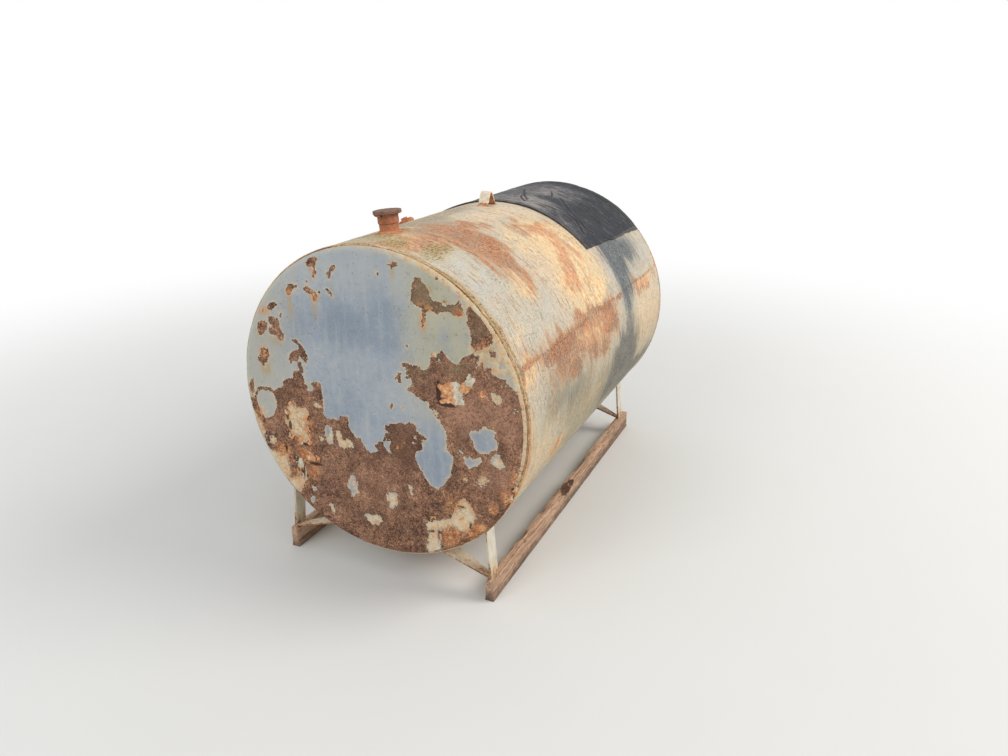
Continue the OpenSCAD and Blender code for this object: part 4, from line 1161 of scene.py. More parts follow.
# Spots on the shell: metres behind the front head, degrees from the crown, half sizes, and strength
SHELL_SPOTS = {
    "rusty": [(0.4, 21, 0.11, 21, 1.25), (0.3, 18, 0.04, 16, 0.9), (0.42, 43, 0.045, 8, 0.95),
        (0.3, 33, 0.03, 6, 0.8), (0.54, 11, 0.08, 7, 0.9), (0.36, 9, 0.11, 9, 0.8), (0.17, 9, 0.13, 8, 0.95),
        (0.2, 15, 0.09, 4, 0.85), (0.86, 26, 0.15, 3.5, 1), (0.91, 33, 0.05, 7, 1), (0.86, 40, 0.045, 7, 1.2),
        (0.8, 47, 0.06, 5, 1.25), (0.73, 51, 0.05, 4, 1), (0.95, 44, 0.03, 5, 0.8), (0.79, 55, 0.03, 4, 1),
        (0.83, 18, 0.03, 4, 0.7), (0.76, 20, 0.07, 4, 0.65), (0.7, 65.5, 0.1, 2.5, 0.9), (0.6, 70, 0.6, 5, 0.6),
        (1.47, 70, 0.35, 3, 0.6), (0.81, 78, 0.28, 9, 0.62), (0.45, 76, 0.22, 8, 0.6),
        (0.96, 74, 0.14, 8, 0.75), (0.36, 109, 0.07, 5, 0.85), (1.54, 72, 0.14, 4, 0.9),
        (0.05, 3, 0.07, 8, 0.7), (0.6, -30, 0.3, 16, 0.5), (1.1, -42, 0.25, 12, 0.45), (0.4, -95, 0.3, 14, 0.6),
        (1.3, -80, 0.3, 14, 0.55), (0.9, 175, 0.9, 20, 0.75), (0.5, 150, 0.5, 14, 0.5),
        (1.4, -150, 0.4, 16, 0.55), (0.03, 103, 0.03, 14, 1), (0.03, 40, 0.015, 30, 0.6),
        (0.02, -60, 0.02, 60, 0.7), (0.02, 150, 0.02, 60, 0.8), (1.8, 90, 0.02, 90, 0.15),
        (1.8, -90, 0.02, 90, 0.6)],
    "bright": [(0.86, 42, 0.2, 24, 0.75), (0.88, 61.5, 0.2, 5, 1.05), (0.9, 54, 0.05, 5, 1.1),
        (0.96, 38, 0.1, 10, 0.85), (0.72, 52, 0.1, 9, 0.8), (0.6, 30, 0.06, 14, 0.45), (0.36, 44, 0.1, 8, 0.5),
        (0.8, 74, 0.22, 6, 0.9), (1.53, 71, 0.13, 3, 1), (0.13, 5, 0.12, 10, 0.55), (0.03, 103, 0.03, 16, 0.9),
        (0.1, 71, 0.12, 2.5, 0.8), (0.99, -2, 0.05, 5, 0.6), (0.25, -6, 0.09, 9, 0.9),
        (0.78, -30, 0.08, 8, 0.8), (0.36, 109, 0.08, 5, 0.8), (-0.02, 0, 0.06, 200, 0.3)],
    # Stains, with painted shadow along the sheet's edge and painted shade on the lower side
    "stain": [(1.29, 56, 0.1, 14, 1.5), (1.42, 52, 0.2, 8, 0.95), (1.25, 70, 0.06, 13, 0.9),
        (1.26, 87, 0.08, 10, 0.8), (1.18, 99, 0.18, 10, 1.7), (1.31, 105, 0.13, 9, 1.1),
        (1.06, 107, 0.14, 10, 1), (1.42, 114, 0.32, 7, 1.2), (0.45, 90, 0.16, 6, 0.4), (1.3, -58, 0.3, 10, 0.6),
        (1, -110, 0.3, 20, 0.4)],
    "crust": [(0.4, 71.5, 0.19, 4.2, 1), (0.83, 70.5, 0.24, 4, 0.95), (0.94, 76, 0.13, 5, 0.85),
        (0.74, 81, 0.04, 6, 0.8), (0.5, 82, 0.08, 4.5, 0.9), (0.87, 84, 0.08, 4, 0.6),
        (1.15, 69.5, 0.08, 1.6, 0.75), (0.12, 68.7, 0.14, 1.2, 0.8), (0.91, 69, 1.2, 0.45, 0.62),
        (1.54, 69.2, 0.2, 0.8, 0.55), (0.6, 77, 0.45, 6, 0.45), (0.4, 76, 0.1, 4, 0.5),
        (0.25, -5, 0.07, 7, 0.85), (0.1, 5, 0.08, 6, 0.5), (0.78, -30, 0.06, 6, 0.85),
        (0.38, 16, 0.08, 12, 0.36), (0.4, 34, 0.06, 7, 0.42), (0.03, 70, 0.03, 3, 0.8),
        (0.022, 80, 0.012, 60, 0.5), (0.9, 180, 0.6, 8, 0.55), (0.02, -40, 0.012, 60, 0.5)],
    "pale": [(0.15, 36, 0.12, 14, 0.8), (0.98, 1, 0.16, 8, 0.7), (0.46, 55, 0.16, 8, 0.65),
        (0.55, 37, 0.06, 7, 0.55), (1.15, 57, 0.07, 10, 0.75), (1.72, 57, 0.1, 9, 0.7),
        (0.1, 86, 0.08, 10, 0.5), (0.75, 3, 0.2, 5, 0.4)],
    # Soot on the crown, and painted shade on the lower side and underneath
    "soot": [(0.55, -8, 0.55, 8, 0.95), (0.3, 87, 0.14, 9, 0.9), (0.55, 95, 0.22, 12, 0.9),
        (0.85, 98, 0.16, 10, 0.7), (0.38, 82, 0.12, 10, 0.8), (0.2, -30, 0.6, 14, 0.7),
        (0.95, 108, 0.5, 14, 0.75), (0.62, 106, 0.26, 12, 0.6), (0.36, 3, 0.18, 8, 1),
        (0.34, 28, 0.1, 22, 0.45), (0.4, 90, 0.1, 8, 0.5), (0.9, 180, 2, 46, 0.8), (0.9, -90, 2, 40, 0.35)],
    "lichen": [(0.02, 30, 0.02, 40, 0.8), (0.1, 2, 0.1, 10, 0.65), (0.15, 17.5, 0.11, 4, 0.85),
        (0.18, -8, 0.12, 8, 0.6), (0.6, -14, 0.4, 7, 0.45), (0.05, -30, 0.1, 30, 0.5), (1.6, -60, 0.3, 20, 0.35)],
    # Yellow cream paint, with painted sunlight on the crown and low at the front
    "warm": [(0.8, 42, 0.34, 30, 1.1), (1.55, 88, 0.32, 18, 1), (1.68, 72, 0.16, 10, 0.7),
        (0.08, 95, 0.08, 14, 0.6), (0.14, 75, 0.14, 5, 0.7), (0.8, 8, 0.3, 10, 0.8), (1.2, 66, 0.2, 8, 0.3),
        (0.5, 112, 0.5, 8, 0.3), (0.14, 106, 0.18, 12, 1.1), (0.98, 2, 0.16, 8, 0.9), (0.1, 61, 0.11, 6, 0.7)],
}


def skin_place(mesh):
    """How far back and how many degrees round a mesh's points are, also given to it in metres."""
    place = corners(mesh)
    along = place[:, 1] - HEAD_FRONT
    turn = np.degrees(np.arctan2(place[:, 0], place[:, 2] - AXIS_H))
    give_attribute(mesh, "along", along)
    give_attribute(mesh, "around", np.radians(turn) * SHELL_R)
    return along, turn


def weather(mesh):
    """Gives a mesh on the shell its place there and its spots: wear, stains, and painted light and shade."""
    along, turn = skin_place(mesh)
    place = corners(mesh)
    back = along + 0.040 * rough(place * (1, 1, 0.6), 0.13, 45, 4)
    wander = rough(place * (1, 1.6, 1), 0.11, 46, 4)
    for wear, spots in SHELL_SPOTS.items():
        angle = turn + (1.625 if wear == "crust" else 6.5) * wander
        steep = 1.5 if wear in ("rusty", "bright", "crust") else 1.0
        give_attribute(mesh, wear, np.maximum(blots(back, angle, spots, steep),
                                              blots(back, angle - 360, spots, steep)))


def tank_shell(finish):
    """The rolled shell, a little out of round, with its edges closed to the inner wall."""
    angles = np.concatenate([np.arange(-26, 126, 0.8), np.arange(126, 334, 2.0)])
    backs = (np.concatenate([[SHELL_FRONT], np.arange(SHELL_FRONT + 0.002, SHELL_FRONT + 0.05, 0.006),
                             np.arange(SHELL_FRONT + 0.05, SHELL_REAR - 0.012, 0.008),
                             [SHELL_REAR - 0.008, SHELL_REAR - 0.002, SHELL_REAR]]) - HEAD_FRONT)
    first, last = backs[0], backs[-1]
    back, angle = np.meshgrid(backs, angles, indexing="ij")
    sample = on_skin(back, angle)
    ease = soft_step(back, first + 0.002, first + 0.10) * soft_step(back, last - 0.002, last - 0.10)
    lift = ease * (0.0011 * rough(sample, 0.35, 41, 2) + 0.0005 * rough(sample, 0.06, 42, 2)) - 0.0002
    lift += ease * 0.0006 * rough(spread(back * 70, angle / 14, 0), 1.0, 43, 2)
    edge = (back <= first) | (back >= last)
    rings = [on_skin(back, angle, np.where(edge, -0.0008, lift)).reshape(-1, 3)]
    rings += [on_skin(np.full(len(angles), place), angles, -0.0032) for place in (last, first)]
    faces = grid_faces(len(backs) + 2, len(angles), wrap_rows=True, wrap_columns=True)
    mesh = outward(mesh_of("tank_shell", np.concatenate(rings), faces))
    weather(mesh)
    return piece("tank_shell", mesh, finish)


# ---------------------------------------------------------------- welds

def ring_line(radius, depth, front, seed, sway=0.0009, count=720):
    """A wandering ring round a head."""
    turn = np.linspace(0, 2 * np.pi, count, endpoint=False)
    spot = spread(np.cos(turn), np.sin(turn), front)
    wide = radius + sway * 0.5 * rough(spot, 0.12, seed, 3)
    deep = depth + sway * rough(spot, 0.10, seed + 1, 3)
    y = front + deep if front < 0 else front - deep
    return spread(wide * np.sin(turn), y, AXIS_H + wide * np.cos(turn)), True


def skin_ring(back, angle, radius, lift, seed, sway=0.001, count=140):
    """A ring lying on the shell round a pipe."""
    turn = np.linspace(0, 2 * np.pi, count, endpoint=False)
    wide = radius + sway * rough(spread(np.cos(turn), np.sin(turn), 0), 0.5, seed, 2)
    x, y = wide * np.cos(turn), wide * np.sin(turn)
    return from_frame(spread(x, y, skin_height(x, lift)), back, angle), True


# ---------------------------------------------------------------- fittings

def dense(outline, step):
    """The points of a closed outline, with others between them, about a step apart."""
    points = []
    for (x1, y1), (x2, y2) in zip(outline, outline[1:] + outline[:1]):
        count = max(1, round(math.hypot(x2 - x1, y2 - y1) / step))
        points += [(x1 + (x2 - x1) * k / count, y1 + (y2 - y1) * k / count) for k in range(count)]
    return np.array(points)


def turned(name, outline, back, angle, finish, *layers, turns=150):
    """A corroded ring turned from a closed outline of (radius, height) in millimetres."""
    section = dense(outline, 1.6) * MM
    turn = np.linspace(0, 2 * np.pi, turns, endpoint=False)
    radius, height = section.T[:, :, None]
    local = spread(radius * np.cos(turn), radius * np.sin(turn), height).reshape(-1, 3)
    faces = grid_faces(len(section), turns, wrap_rows=True, wrap_columns=True)
    mesh = outward(mesh_of(name, from_frame(local, back, angle), faces))
    return piece(name, roughen(mesh, *layers), finish)


def worn_copy(name, node, grain, finish, *layers):
    """A CAD node's shape with worn edges and a corroded face."""
    source = put(name + "_base", outward(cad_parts[node].data.copy()))
    step = source.modifiers.new("grain", "REMESH")
    step.mode, step.voxel_size = "VOXEL", grain
    soften = source.modifiers.new("soften", "SMOOTH")
    soften.factor, soften.iterations = 0.5, 3
    worn = roughen(mesh_seen(source, name), *layers)
    move_to(worn, np.clip(corners(worn), *(np.array(c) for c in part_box(node))))
    return piece(name, worn, finish)


# Where the fittings stand: metres behind the front head, degrees from the crown
FILL_PLACE, BUNG_PLACE = (0.250, -5.5), (0.780, -30.0)
LUG_BACK = 0.960
PIPE_BEAD = {"width": 0.0062, "ripple": 0.0045, "lumps": 0.0024, "grain": 0.007}


def fill_neck_pieces(bead, finishes):
    """The neck, its collar, the broken catch and the cap, with the weld at the foot."""
    rusty, place = finishes["fitting"], FILL_PLACE
    made = {"fill_neck": turned("neck_pipe", [(30, -14), (36.5, -14), (36.5, 30.5), (35.6, 32), (34.6, 33.5),
                                              (34.6, 56.5), (30, 56.5)], *place, rusty, (0.030, 0.0006, 51),
                                (0.006, 0.00045, 52)),
            "fill_collar": turned("neck_collar", [(31.2, 72.6), (31.2, 57.4), (35.4, 57.4), (35.4, 33.4),
                                                  (38.2, 33.4), (39.3, 35.2), (39.4, 70.8), (38.4, 72.4)], *place,
                                  rusty, (0.026, 0.0007, 53), (0.005, 0.0005, 54)),
            "fill_cap": turned("fill_cap_disc", [(0.4, 73.4), (40.4, 73.4), (40.4, 68.4), (51.2, 68.3),
                                                 (53.0, 69.6), (53.3, 71.6), (53.2, 78.8), (52.4, 81.0),
                                                 (50.6, 81.9), (44.5, 81.6), (42.5, 80.4), (0.4, 80.2)], *place,
                               finishes["cap"], (0.030, 0.0006, 55), (0.009, 0.0004, 56), turns=180)}
    arc = np.radians(np.linspace(205 - 64, 205 + 64, 90))[:, None]
    jag = 1 + 0.3 * rough(spread(arc * 3, 0, 0), 0.4, 57, 3)
    radius, height = np.array([(39.9, 67.5), (50.4, 67.6), (50.9, 65.0), (47.0, 61.0), (40.0, 59.8)]).T
    reach, count = 39.8 + (radius - 39.8) * jag, len(radius)
    local = spread(reach * np.cos(arc), reach * np.sin(arc), height).reshape(-1, 3) * MM
    faces = grid_faces(len(arc), count, wrap_columns=True)
    faces += [list(range(count)), list(range((len(arc) - 1) * count, len(arc) * count))]
    catch = outward(mesh_of("cap_catch", from_frame(local, *place), faces))
    made["fill_catch"] = piece("cap_catch", roughen(catch, (0.008, 0.0006, 58)), rusty)
    foot = line_mesh("foot", skin_ring(*place, 0.0392, 0.0022, 61), skin_ring(*place, 0.0422, 0.0008, 62, 0.0016),
                     skin_ring(*place, 0.0375, 0.0048, 63, 0.0007))
    made["fill_weld"] = bead.make("neck_weld", foot, finishes["bright_weld"], **PIPE_BEAD)
    return made


def bung_pieces(bead, finishes):
    """The bung's collar and its square-headed plug, on the far side of the crown."""
    rusty, place = finishes["fitting"], BUNG_PLACE
    collar = turned("bung_ring", [(28.4, -14), (37.9, -14), (37.9, 17.6), (37.0, 19.4), (35.6, 19.9),
                                  (28.4, 19.8)], *place, rusty, (0.028, 0.0004, 65), (0.005, 0.0004, 66))
    # The plug in millimetres: half the head's width, its top, and the disc from low to high
    half, top, low, high = 11, 36, 20.3, 25
    made = bmesh.new()

    def disc(foot, top, depth, height):
        verts = bmesh.ops.create_cone(made, cap_ends=True, segments=64, radius1=foot, radius2=top,
                                      depth=depth)["verts"]
        bmesh.ops.translate(made, verts=verts, vec=(0, 0, height))

    disc(0.0328, 0.0322, (high - low) * MM, (high + low) / 2 * MM)
    head = bmesh.ops.create_cube(made, size=1.0)["verts"]
    bmesh.ops.scale(made, verts=head, vec=(2 * half * MM, 2 * half * MM, (top - high + 2) * MM))
    bmesh.ops.translate(made, verts=head, vec=(0, 0, (top + high - 2) / 2 * MM))
    disc(0.0276, 0.0276, 0.016, 0.0125)
    bmesh.ops.bevel(made, geom=made.edges[:], offset=0.0011, segments=2, affect="EDGES")
    long_edges = [edge for edge in made.edges if edge.calc_length() > 0.006]
    bmesh.ops.subdivide_edges(made, edges=long_edges, cuts=3, use_grid_fill=True)
    mesh = bpy.data.meshes.new("bung_plug_head")
    made.to_mesh(mesh)
    made.free()
    move_to(mesh, from_frame(corners(mesh), *place))
    plug = piece("bung_plug_head", roughen(mesh, (0.010, 0.0005, 67)), rusty)
    foot = line_mesh("foot", skin_ring(*place, 0.0405, 0.0022, 68), skin_ring(*place, 0.0432, 0.0008, 69, 0.0016))
    weld = bead.make("bung_foot_weld", foot, finishes["bright_weld"], **PIPE_BEAD)
    return {"bung_collar": collar, "bung_plug": plug, "bung_weld": weld}


def lug_pieces(bead, finishes):
    """The bent lifting lug and the beads round its feet."""
    strap = worn_copy("lug_strap", "lifting_lug", 0.0017, finishes["lug"], (0.012, 0.0004, 71),
                      (0.004, 0.00025, 72))
    place, out = corners(strap.data), facing(strap.data)
    inward = soft_step(out[:, 1] * np.sign(HEAD_FRONT + LUG_BACK - place[:, 1]), 0.2, 0.7)
    give_attribute(strap.data, "inner", np.maximum(inward, soft_step(-out[:, 2], 0.3, 0.8)))
    lines, x = [], np.linspace(-0.0235, 0.0235, 26)
    for side in (-1, 1):
        for gap, lift, seed in ((0.0465, 0.0022, 73), (0.0487, 0.0009, 74)):
            y = side * (gap + 0.0008 * rough(spread(x * 60, side, 0), 0.5, seed, 2))
            lines.append((from_frame(spread(x, y, skin_height(x, lift)), LUG_BACK, 0), False))
    weld = bead.make("lug_foot_welds", line_mesh("feet", *lines), finishes["lug_weld"], width=0.0058,
                     lumps=0.0026, grain=0.006)
    return {"lifting_lug": strap, "lug_welds": weld}


# ---------------------------------------------------------------- rubber sheet

# Where the sheet is faded, where it is still dark, and where it stands up: as for the shell
FADED = [
    (1.2, 8, 0.12, 15, 1), (1.5, 7, 0.18, 10, 0.9), (1.4, -20, 0.3, 14, 0.6), (1.11, 34, 0.05, 12, 0.6),
    (1.76, 44, 0.05, 8, 0.4), (1.14, 18, 0.06, 32, 1), (1.5, 18, 0.1, 6, 0.5)
]
WET = [
    (1.54, 38, 0.26, 11, 2.2), (1.36, 42, 0.16, 7, 1.3), (1.34, 20, 0.05, 18, 0.8), (1.6, 27, 0.16, 5, 0.8),
    (1.75, 0, 0.09, 18, 1.5), (1.6, -40, 0.2, 14, 0.6), (1.085, 20, 0.012, 40, 0.8), (1.2, 42, 0.08, 8, 0.6)
]
HUMPS = [(1.70, -4, 0.10, 10, 1.0), (1.44, 3, 0.20, 8, 0.5), (1.24, 40, 0.10, 5, 0.5),
         (1.76, 30, 0.05, 12, 0.6), (1.30, -30, 0.14, 12, 0.6)]

# Folds pressed into the sheet, each from one (behind the head, degrees) to another
FOLDS = [
    (1.16, 9, 1.22, 5), (1.22, 5, 1.3, 3), (1.46, -3, 1.31, 3), (1.31, 3, 1.21, 8), (1.48, 10, 1.38, 14),
    (1.41, 17, 1.34, 22), (1.34, 22, 1.29, 27), (1.29, 27, 1.23, 37), (1.23, 37, 1.245, 41), (1.2, 11, 1.2, 16),
    (1.2, 16, 1.205, 22), (1.205, 22, 1.235, 26), (1.235, 26, 1.24, 31), (1.24, 31, 1.16, 39),
    (1.4, 18, 1.3, 25), (1.5, 24, 1.46, 34), (1.46, 34, 1.5, 42), (1.62, 30, 1.64, 42), (1.795, -46, 1.79, 45),
    (1.77, -30, 1.755, 45), (1.745, -10, 1.73, 30), (1.22, -12, 1.27, -17), (1.27, -17, 1.33, -18),
    (1.33, -18, 1.37, -24), (1.5, -31, 1.55, -26), (1.55, -26, 1.64, -25), (1.64, -25, 1.67, -19)
]


def fold_distance(back, angle):
    """How far points of the sheet are from its nearest fold, in metres."""
    nearest = np.full(np.shape(back), 1.0)
    sway = 0.010 * rough(spread(back, np.radians(angle) * SHELL_R, 0), 0.05, 87, 2)
    for b1, a1, b2, a2 in FOLDS:
        run_b, run_a = b2 - b1, math.radians(a2 - a1) * SHELL_R
        off_b, off_a = back - b1 + sway, np.radians(angle - a1) * SHELL_R - sway
        part = np.clip((off_b * run_b + off_a * run_a) / (run_b ** 2 + run_a ** 2), 0, 1)
        nearest = np.minimum(nearest, np.hypot(off_b - part * run_b, off_a - part * run_a))
    return nearest


def rubber_sheet(finish):
    """The old sheet over the tank's back, cracked, with a lip along its front edge."""
    low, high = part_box("rubber_cover")
    first, last = low.y - HEAD_FRONT, high.y - HEAD_FRONT
    left, right = -50.0, 48.0
    rows, columns = 164, 232
    s, t = np.meshgrid(np.linspace(0, 1, rows), np.linspace(0, 1, columns), indexing="ij")
    angle = left + (right - 2.2 + 3.4 * s - left) * t
    back = first + (last - first) * s
    frayed = rough(spread(1, t * 9, 0), 1.0, 81, 3)
    back += 0.0045 * frayed * soft_step(s, 0.04, 0.0) - 0.004 * frayed * soft_step(s, 0.97, 1.0)
    hem = rough(spread(s * 8, 5, 0), 1.0, 82, 3)
    angle += 0.5 * hem * (soft_step(t, 0.03, 0.0) - soft_step(t, 0.97, 1.0))
    sample = on_skin(back, angle)
    lift = 0.0016 + 0.0016 * rough(sample, 0.20, 83, 3) + 0.0005 * rough(sample, 0.03, 84, 2)
    lip = soft_step(s, 0.045, 0.0) * (0.6 + 0.4 * rough(spread(0, t * 6, 0), 1.0, 85, 2))
    lift += 0.0052 * lip
    lift += 0.0035 * blots(back, angle, HUMPS)
    folded = fold_distance(back, angle)
    lift += 0.0010 * np.exp(-((folded - 0.013) / 0.007) ** 2) - 0.0016 * np.exp(-(folded / 0.006) ** 2)
    lift = np.clip(lift, 0.0006, 0.012)
    thick = 0.0042 + 0.0006 * rough(sample, 0.05, 86, 2)
    sides = [on_skin(back, angle, height).reshape(-1, 3) for height in (lift + thick, lift)]
    mesh = outward(mesh_of("rubber_sheet", np.concatenate(sides), sheet_faces(rows, columns)))
    along, turn = skin_place(mesh)
    near = np.minimum(np.minimum(along - first, last - along), np.minimum(turn - left, right - turn) * 0.0107)
    give_attribute(mesh, "rim", soft_step(near, 0.020, 0.0))
    give_attribute(mesh, "faded", blots(along, turn, FADED) - blots(along, turn, WET))
    away = fold_distance(along, turn)
    give_attribute(mesh, "crease", np.exp(-(away / 0.0075) ** 2))
    give_attribute(mesh, "ridge", np.exp(-((away - 0.014) / 0.007) ** 2))
    return piece("rubber_sheet", mesh, finish)


# ---------------------------------------------------------------- legs and runners

def leg_lines(node, sign, edge, count, margin, *beads):
    """Lines over the shell along a bar's edge, each bead (degrees further out, lift, seed)."""
    low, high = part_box(node)
    y = np.linspace(low.y + margin, high.y - margin, count) - HEAD_FRONT
    for further, lift, seed in beads:
        sway = 0.06 * rough(spread(y * 60, 0, sign), 0.5, seed, 2)
        yield on_skin(y, sign * (180 - edge - further - sway), lift), False


def inner_edge(node):
    """How many degrees from the tank's underside a node's near side is."""
    low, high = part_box(node)
    return math.degrees(math.asin(min(abs(low.x), abs(high.x)) / SHELL_R))


def legs(bead, finishes):
    """Posts and braces of worn bar, with beads where they meet the shell."""
    made = {}
    for leg in ("front_left", "front_right", "rear_left", "rear_right"):
        post, brace, welds = leg + "_post", leg + "_brace", leg + "_welds"
        sign = 1 if leg.endswith("right") else -1
        for node, seed in ((post, 91), (brace, 94)):
            bar = worn_copy(node + "_bar", node, 0.0021, finishes["leg"], (0.060, 0.0004, seed),
                            (0.008, 0.00025, seed + 1))
            give_attribute(bar.data, "edge", soft_step(np.abs(facing(bar.data)[:, 1]), 0.5, 0.9))
            made[node] = bar
        outer = leg_lines(post, sign, inner_edge(post) + 0.9, 32, 0.002, (0.0, 0.002, 96), (0.25, 0.0012, 97))
        inner = leg_lines(brace, sign, inner_edge(welds), 36, 0.004, (0.35, 0.002, 98), (0.1, 0.0012, 99))
        feet = line_mesh("feet", *outer, *inner)
        made[welds] = bead.make(leg + "_leg_beads", feet, finishes["weld"], ripple=0.0045, grain=0.008)
    return made


def runner(name, node, finish, seed, rotten):
    """A weathered timber runner: raised grain, splits along it, worn corners and rotten places."""
    low, high = (np.array(c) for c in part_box(node))
    middle, half, tall = (low[0] + high[0]) / 2, (high[0] - low[0]) / 2, high[2] - low[2]
    worn = 0.004
    outline = [(-half, 0.0015), (-half + 0.0015, 0), (half - 0.0015, 0), (half, 0.0015), (half, tall - worn),
               (half - worn * 0.35, tall - worn * 0.35), (half - worn, tall), (worn - half, tall),
               (worn * 0.35 - half, tall - worn * 0.35), (-half, tall - worn)]
    section = dense(outline, 0.003)
    count, reach = len(section), np.linspace(low[1], high[1], 430)
    y, k = np.meshgrid(reach, np.arange(count), indexing="ij")
    x, z = section[k, 0], section[k, 1]
    out_x = np.where(np.abs(x) > half - worn * 0.6, np.sign(x), 0.0)
    out_z = np.where(z > tall - worn * 0.6, 1.0, np.where(z < 0.001, -1.0, 0.0))
    size = np.maximum(np.hypot(out_x, out_z), 1)

    def coarse(sx, sy, sz, step, octaves):
        """Noise over the timber, squeezed by its own amount along each axis."""
        return rough(spread(x * sx, y * sy, z * sz), 1.0, seed + step, octaves)

    grain = rough(spread(x * 26, y * 0.9, z * 26) * 8, 1.0, seed, 3)
    split = np.exp(-(np.abs(coarse(30, 1.3, 30, 3, 2)) / 0.03) ** 2)
    inward = 0.0009 + 0.0012 * grain + 0.0034 * (split * soft_step(coarse(3, 2, 3, 4, 1), -0.1, 0.3))
    corner = soft_step(np.hypot(np.abs(x) - half, z - tall), 0.022, 0.002)
    eaten = rough(spread(np.sign(x) * 2, y * 9, 0), 1.0, seed + 9, 4)
    inward += corner * 0.011 * soft_step(eaten, -0.05, 0.5)
    ends = np.minimum(y - low[1], high[1] - y)
    frayed = rough(spread(x * 90, z * 90, 0), 1.0, seed + 6, 2)
    inward += 0.003 * soft_step(ends, 0.012, 0.0) * (1 + 0.6 * frayed)
    inward = np.where(z > 0.002, inward, 0.0)
    rot, side = np.zeros_like(y), np.sign(middle)
    for back, long, deep in rotten:
        ragged = 1 + 0.35 * coarse(40, 40, 40, 7, 2)
        near = np.hypot((y - HEAD_FRONT - back) / (long * ragged),
                        np.hypot(x - side * half, z - tall) / (deep * ragged))
        rot = np.maximum(rot, soft_step(near, 1.25, 0.7))
        inward = inward + soft_step(near, 1.0, 0.5) * deep * 0.62
    px = middle + x - out_x / size * inward
    pz = z - out_z / size * inward
    px = np.where((out_x == 0) & (rot > 0.05), px - side * rot * 0.004 * (x * side > 0), px)
    warp = 0.0006 * rough(spread(y * 3, 0, middle), 1.0, seed + 8, 2)
    points = spread(np.clip(px + warp, low[0], high[0]), y, np.clip(pz, 0, high[2])).reshape(-1, 3)
    faces = grid_faces(len(reach), count, wrap_columns=True)
    for row, dent in ((0, 0.002), (len(reach) - 1, -0.002)):
        ring = list(range(row * count, (row + 1) * count))
        faces += [[ring[i], ring[(i + 1) % count], len(points)] for i in range(count)]
        points = np.concatenate([points, [[middle, reach[row] + dent, tall / 2]]])
    mesh = outward(mesh_of(name, points, faces))
    x, y, z = corners(mesh).T
    depth = np.zeros(len(x))
    for back, long, deep in rotten:
        near = np.hypot((y - HEAD_FRONT - back) / long, np.hypot(x - middle - side * half, z - tall) / deep)
        depth = np.maximum(depth, soft_step(near, 1.35, 0.7))
    give_attribute(mesh, "rot", depth)
    return piece(name, mesh, finish)


# ---------------------------------------------------------------- the whole tank

def settle(made, node, slot):
    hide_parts(node)
    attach(made, "root")


set_camera()
scene = bpy.context.scene
scene.view_settings.view_transform = "Standard"

finishes = {"head": head_finish(), "flake": flake_finish(), "shell": shell_finish(),
            "weld": weld_finish("leg weld", (104, 84, 66), (150, 118, 90), (186, 154, 122)),
            "rim_weld": weld_finish("rim weld", (126, 90, 62), (204, 160, 116), (240, 214, 176), moss=0.55),
            "bright_weld": weld_finish("fitting weld", (150, 90, 60), (204, 136, 94), (228, 176, 132)),
            "lug_weld": weld_finish("lug weld", (166, 118, 86), (214, 172, 134), (240, 212, 178)),
            "fitting": fitting_finish("rusty fitting", (122, 76, 56), (170, 112, 84), (198, 142, 108), 0.5),
            "cap": fitting_finish("dark cap", (92, 70, 59), (130, 101, 86), (160, 128, 108)), "lug": lug_finish(),
            "leg": leg_finish(), "rubber": rubber_finish(), "timber": timber_finish()}
bead, flakes = bead_recipe(), flake_recipe()

front_plate, front_bare = head_plate("front_head_plate", HEAD_FRONT, finishes["head"])
settle(front_plate, "front_head", "head_paint")
rear_plate = head_plate("rear_head_plate", HEAD_REAR, finishes["head"], mirror=-1, turn=2.3)[0]
settle(rear_plate, "rear_head", "head_paint")
shell_plate = tank_shell(finishes["shell"])
settle(shell_plate, "shell", "shell_paint")
curls = paint_curls(finishes["flake"])
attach(curls, "root")

for name, node, front in (("front_rim_bead", "front_head_weld", HEAD_FRONT),
                          ("rear_rim_bead", "rear_head_weld", HEAD_REAR)):
    rings = line_mesh(name, ring_line(SHELL_R - 0.0008, 0.0143, front, 101),
                      ring_line(SHELL_R - 0.0022, 0.0115, front, 111, 0.0012),
                      ring_line(SHELL_R + 0.0002, 0.0172, front, 121, 0.0010))
    rim = bead.make(name, rings, finishes["rim_weld"], width=0.0036, ripple=0.0075, height=0.0002, lumps=0.0016,
                    grain=0.008)
    settle(rim, node, "rusty_weld")

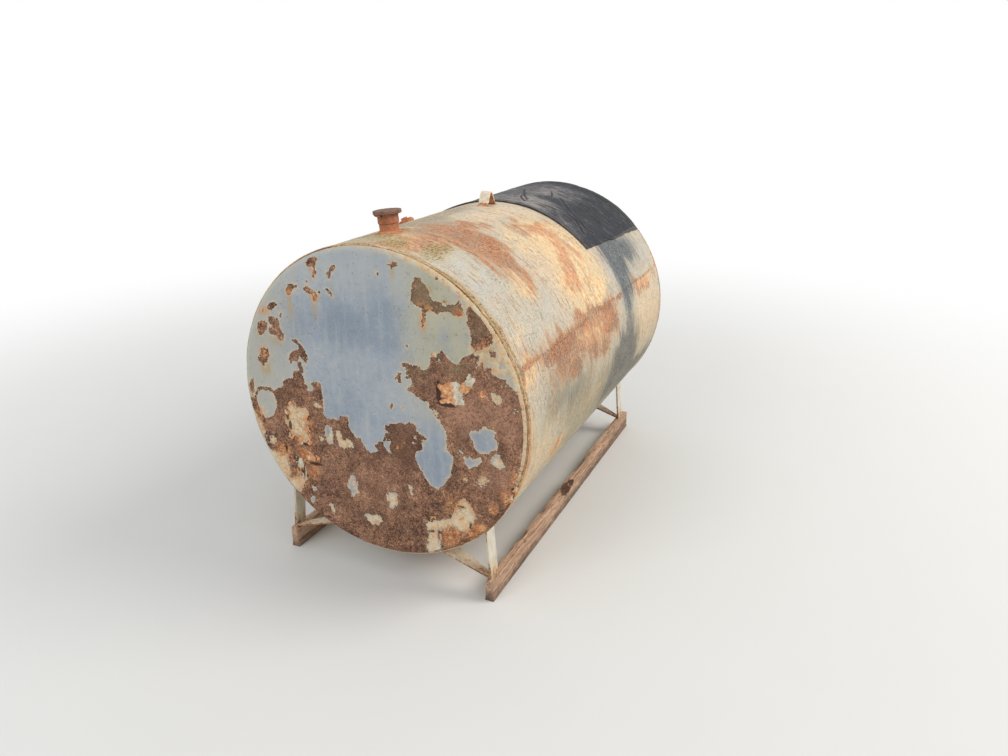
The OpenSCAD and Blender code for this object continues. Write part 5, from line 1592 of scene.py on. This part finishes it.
low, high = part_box("seam_weld")
backs = np.linspace(low.y, high.y, 500) - HEAD_FRONT
wander = rough(spread(backs * 14, 0, 0), 1.0, 131, 3)
runs = ((69, 0.10, -0.0008), (68.75, -0.16, -0.0010), (69.3, 0.13, -0.0012))
seam = line_mesh("seam", *((on_skin(backs, angle + sway * wander, lift), False) for angle, sway, lift in runs))
seam_bead = bead.make("long_seam_bead", seam, finishes["shell"], width=0.0046, ripple=0.005, height=0.0003,
                      lumps=0.0018, grain=0.010)
weather(seam_bead.data)
settle(seam_bead, "seam_weld", "rusty_weld")

for maker, slot in ((fill_neck_pieces, "rusty_fitting"), (bung_pieces, "rusty_fitting"),
                    (lug_pieces, "lug_paint"), (legs, "leg_paint")):
    for node, made in maker(bead, finishes).items():
        settle(made, node, "rusty_weld" if "weld" in node else slot)

cover = rubber_sheet(finishes["rubber"])
settle(cover, "rubber_cover", "cover_rubber")

# Rotten places: metres behind the front head, half length, depth
for node, seed, rotten in (("left_runner", 140, [(1.22, 0.05, 0.012)]),
                           ("right_runner", 150, [(0.822, 0.060, 0.032), (0.87, 0.040, 0.022),
                                                  (0.775, 0.030, 0.018), (1.30, 0.035, 0.010),
                                                  (0.35, 0.04, 0.008)])):
    settle(runner(node + "_timber", node, finishes["timber"], seed, rotten), node, "runner_timber")

edge_of_patch = soft_step(front_bare, -3.5, -0.5) * soft_step(front_bare, 5.0, 1.0)
facing_front = soft_step(-facing(front_plate.data)[:, 1], 0.6, 0.9)
chips = loose_flakes("head_chips", front_plate, edge_of_patch * facing_front, flakes, finishes["flake"], 5200.0,
                     0.0032, 7)
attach(chips, "root")

floor = mesh_of("floor", [(-40, -40, 0), (40, -40, 0), (40, 40, 0), (-40, 40, 0)], [[0, 1, 2, 3]])
piece("floor", floor, floor_finish())

world = bpy.data.worlds.new("studio")
world.use_nodes = True
scene.world = world
sky = Board(world.node_tree)
world.node_tree.nodes.clear()
plain = sky.node("ShaderNodeBackground", {"Color": (0.95, 0.975, 1.0, 1), "Strength": 0.70})
white = sky.node("ShaderNodeBackground", {"Color": (1, 1, 1, 1), "Strength": 1.0})
both = sky.node("ShaderNodeMixShader", {0: sky.sees_backdrop(), 1: plain, 2: white})
sky.end("ShaderNodeOutputWorld", "Surface", both)
soft_lamp("key", (6.6, 2.2, 7.2), (0, 0.1, 0.8), 4.5, 430, (1.0, 0.96, 0.90))
soft_lamp("fill", (-2.4, -7.5, 5.0), (0, -0.9, 0.7), 4.5, 160, (0.95, 0.975, 1.0))
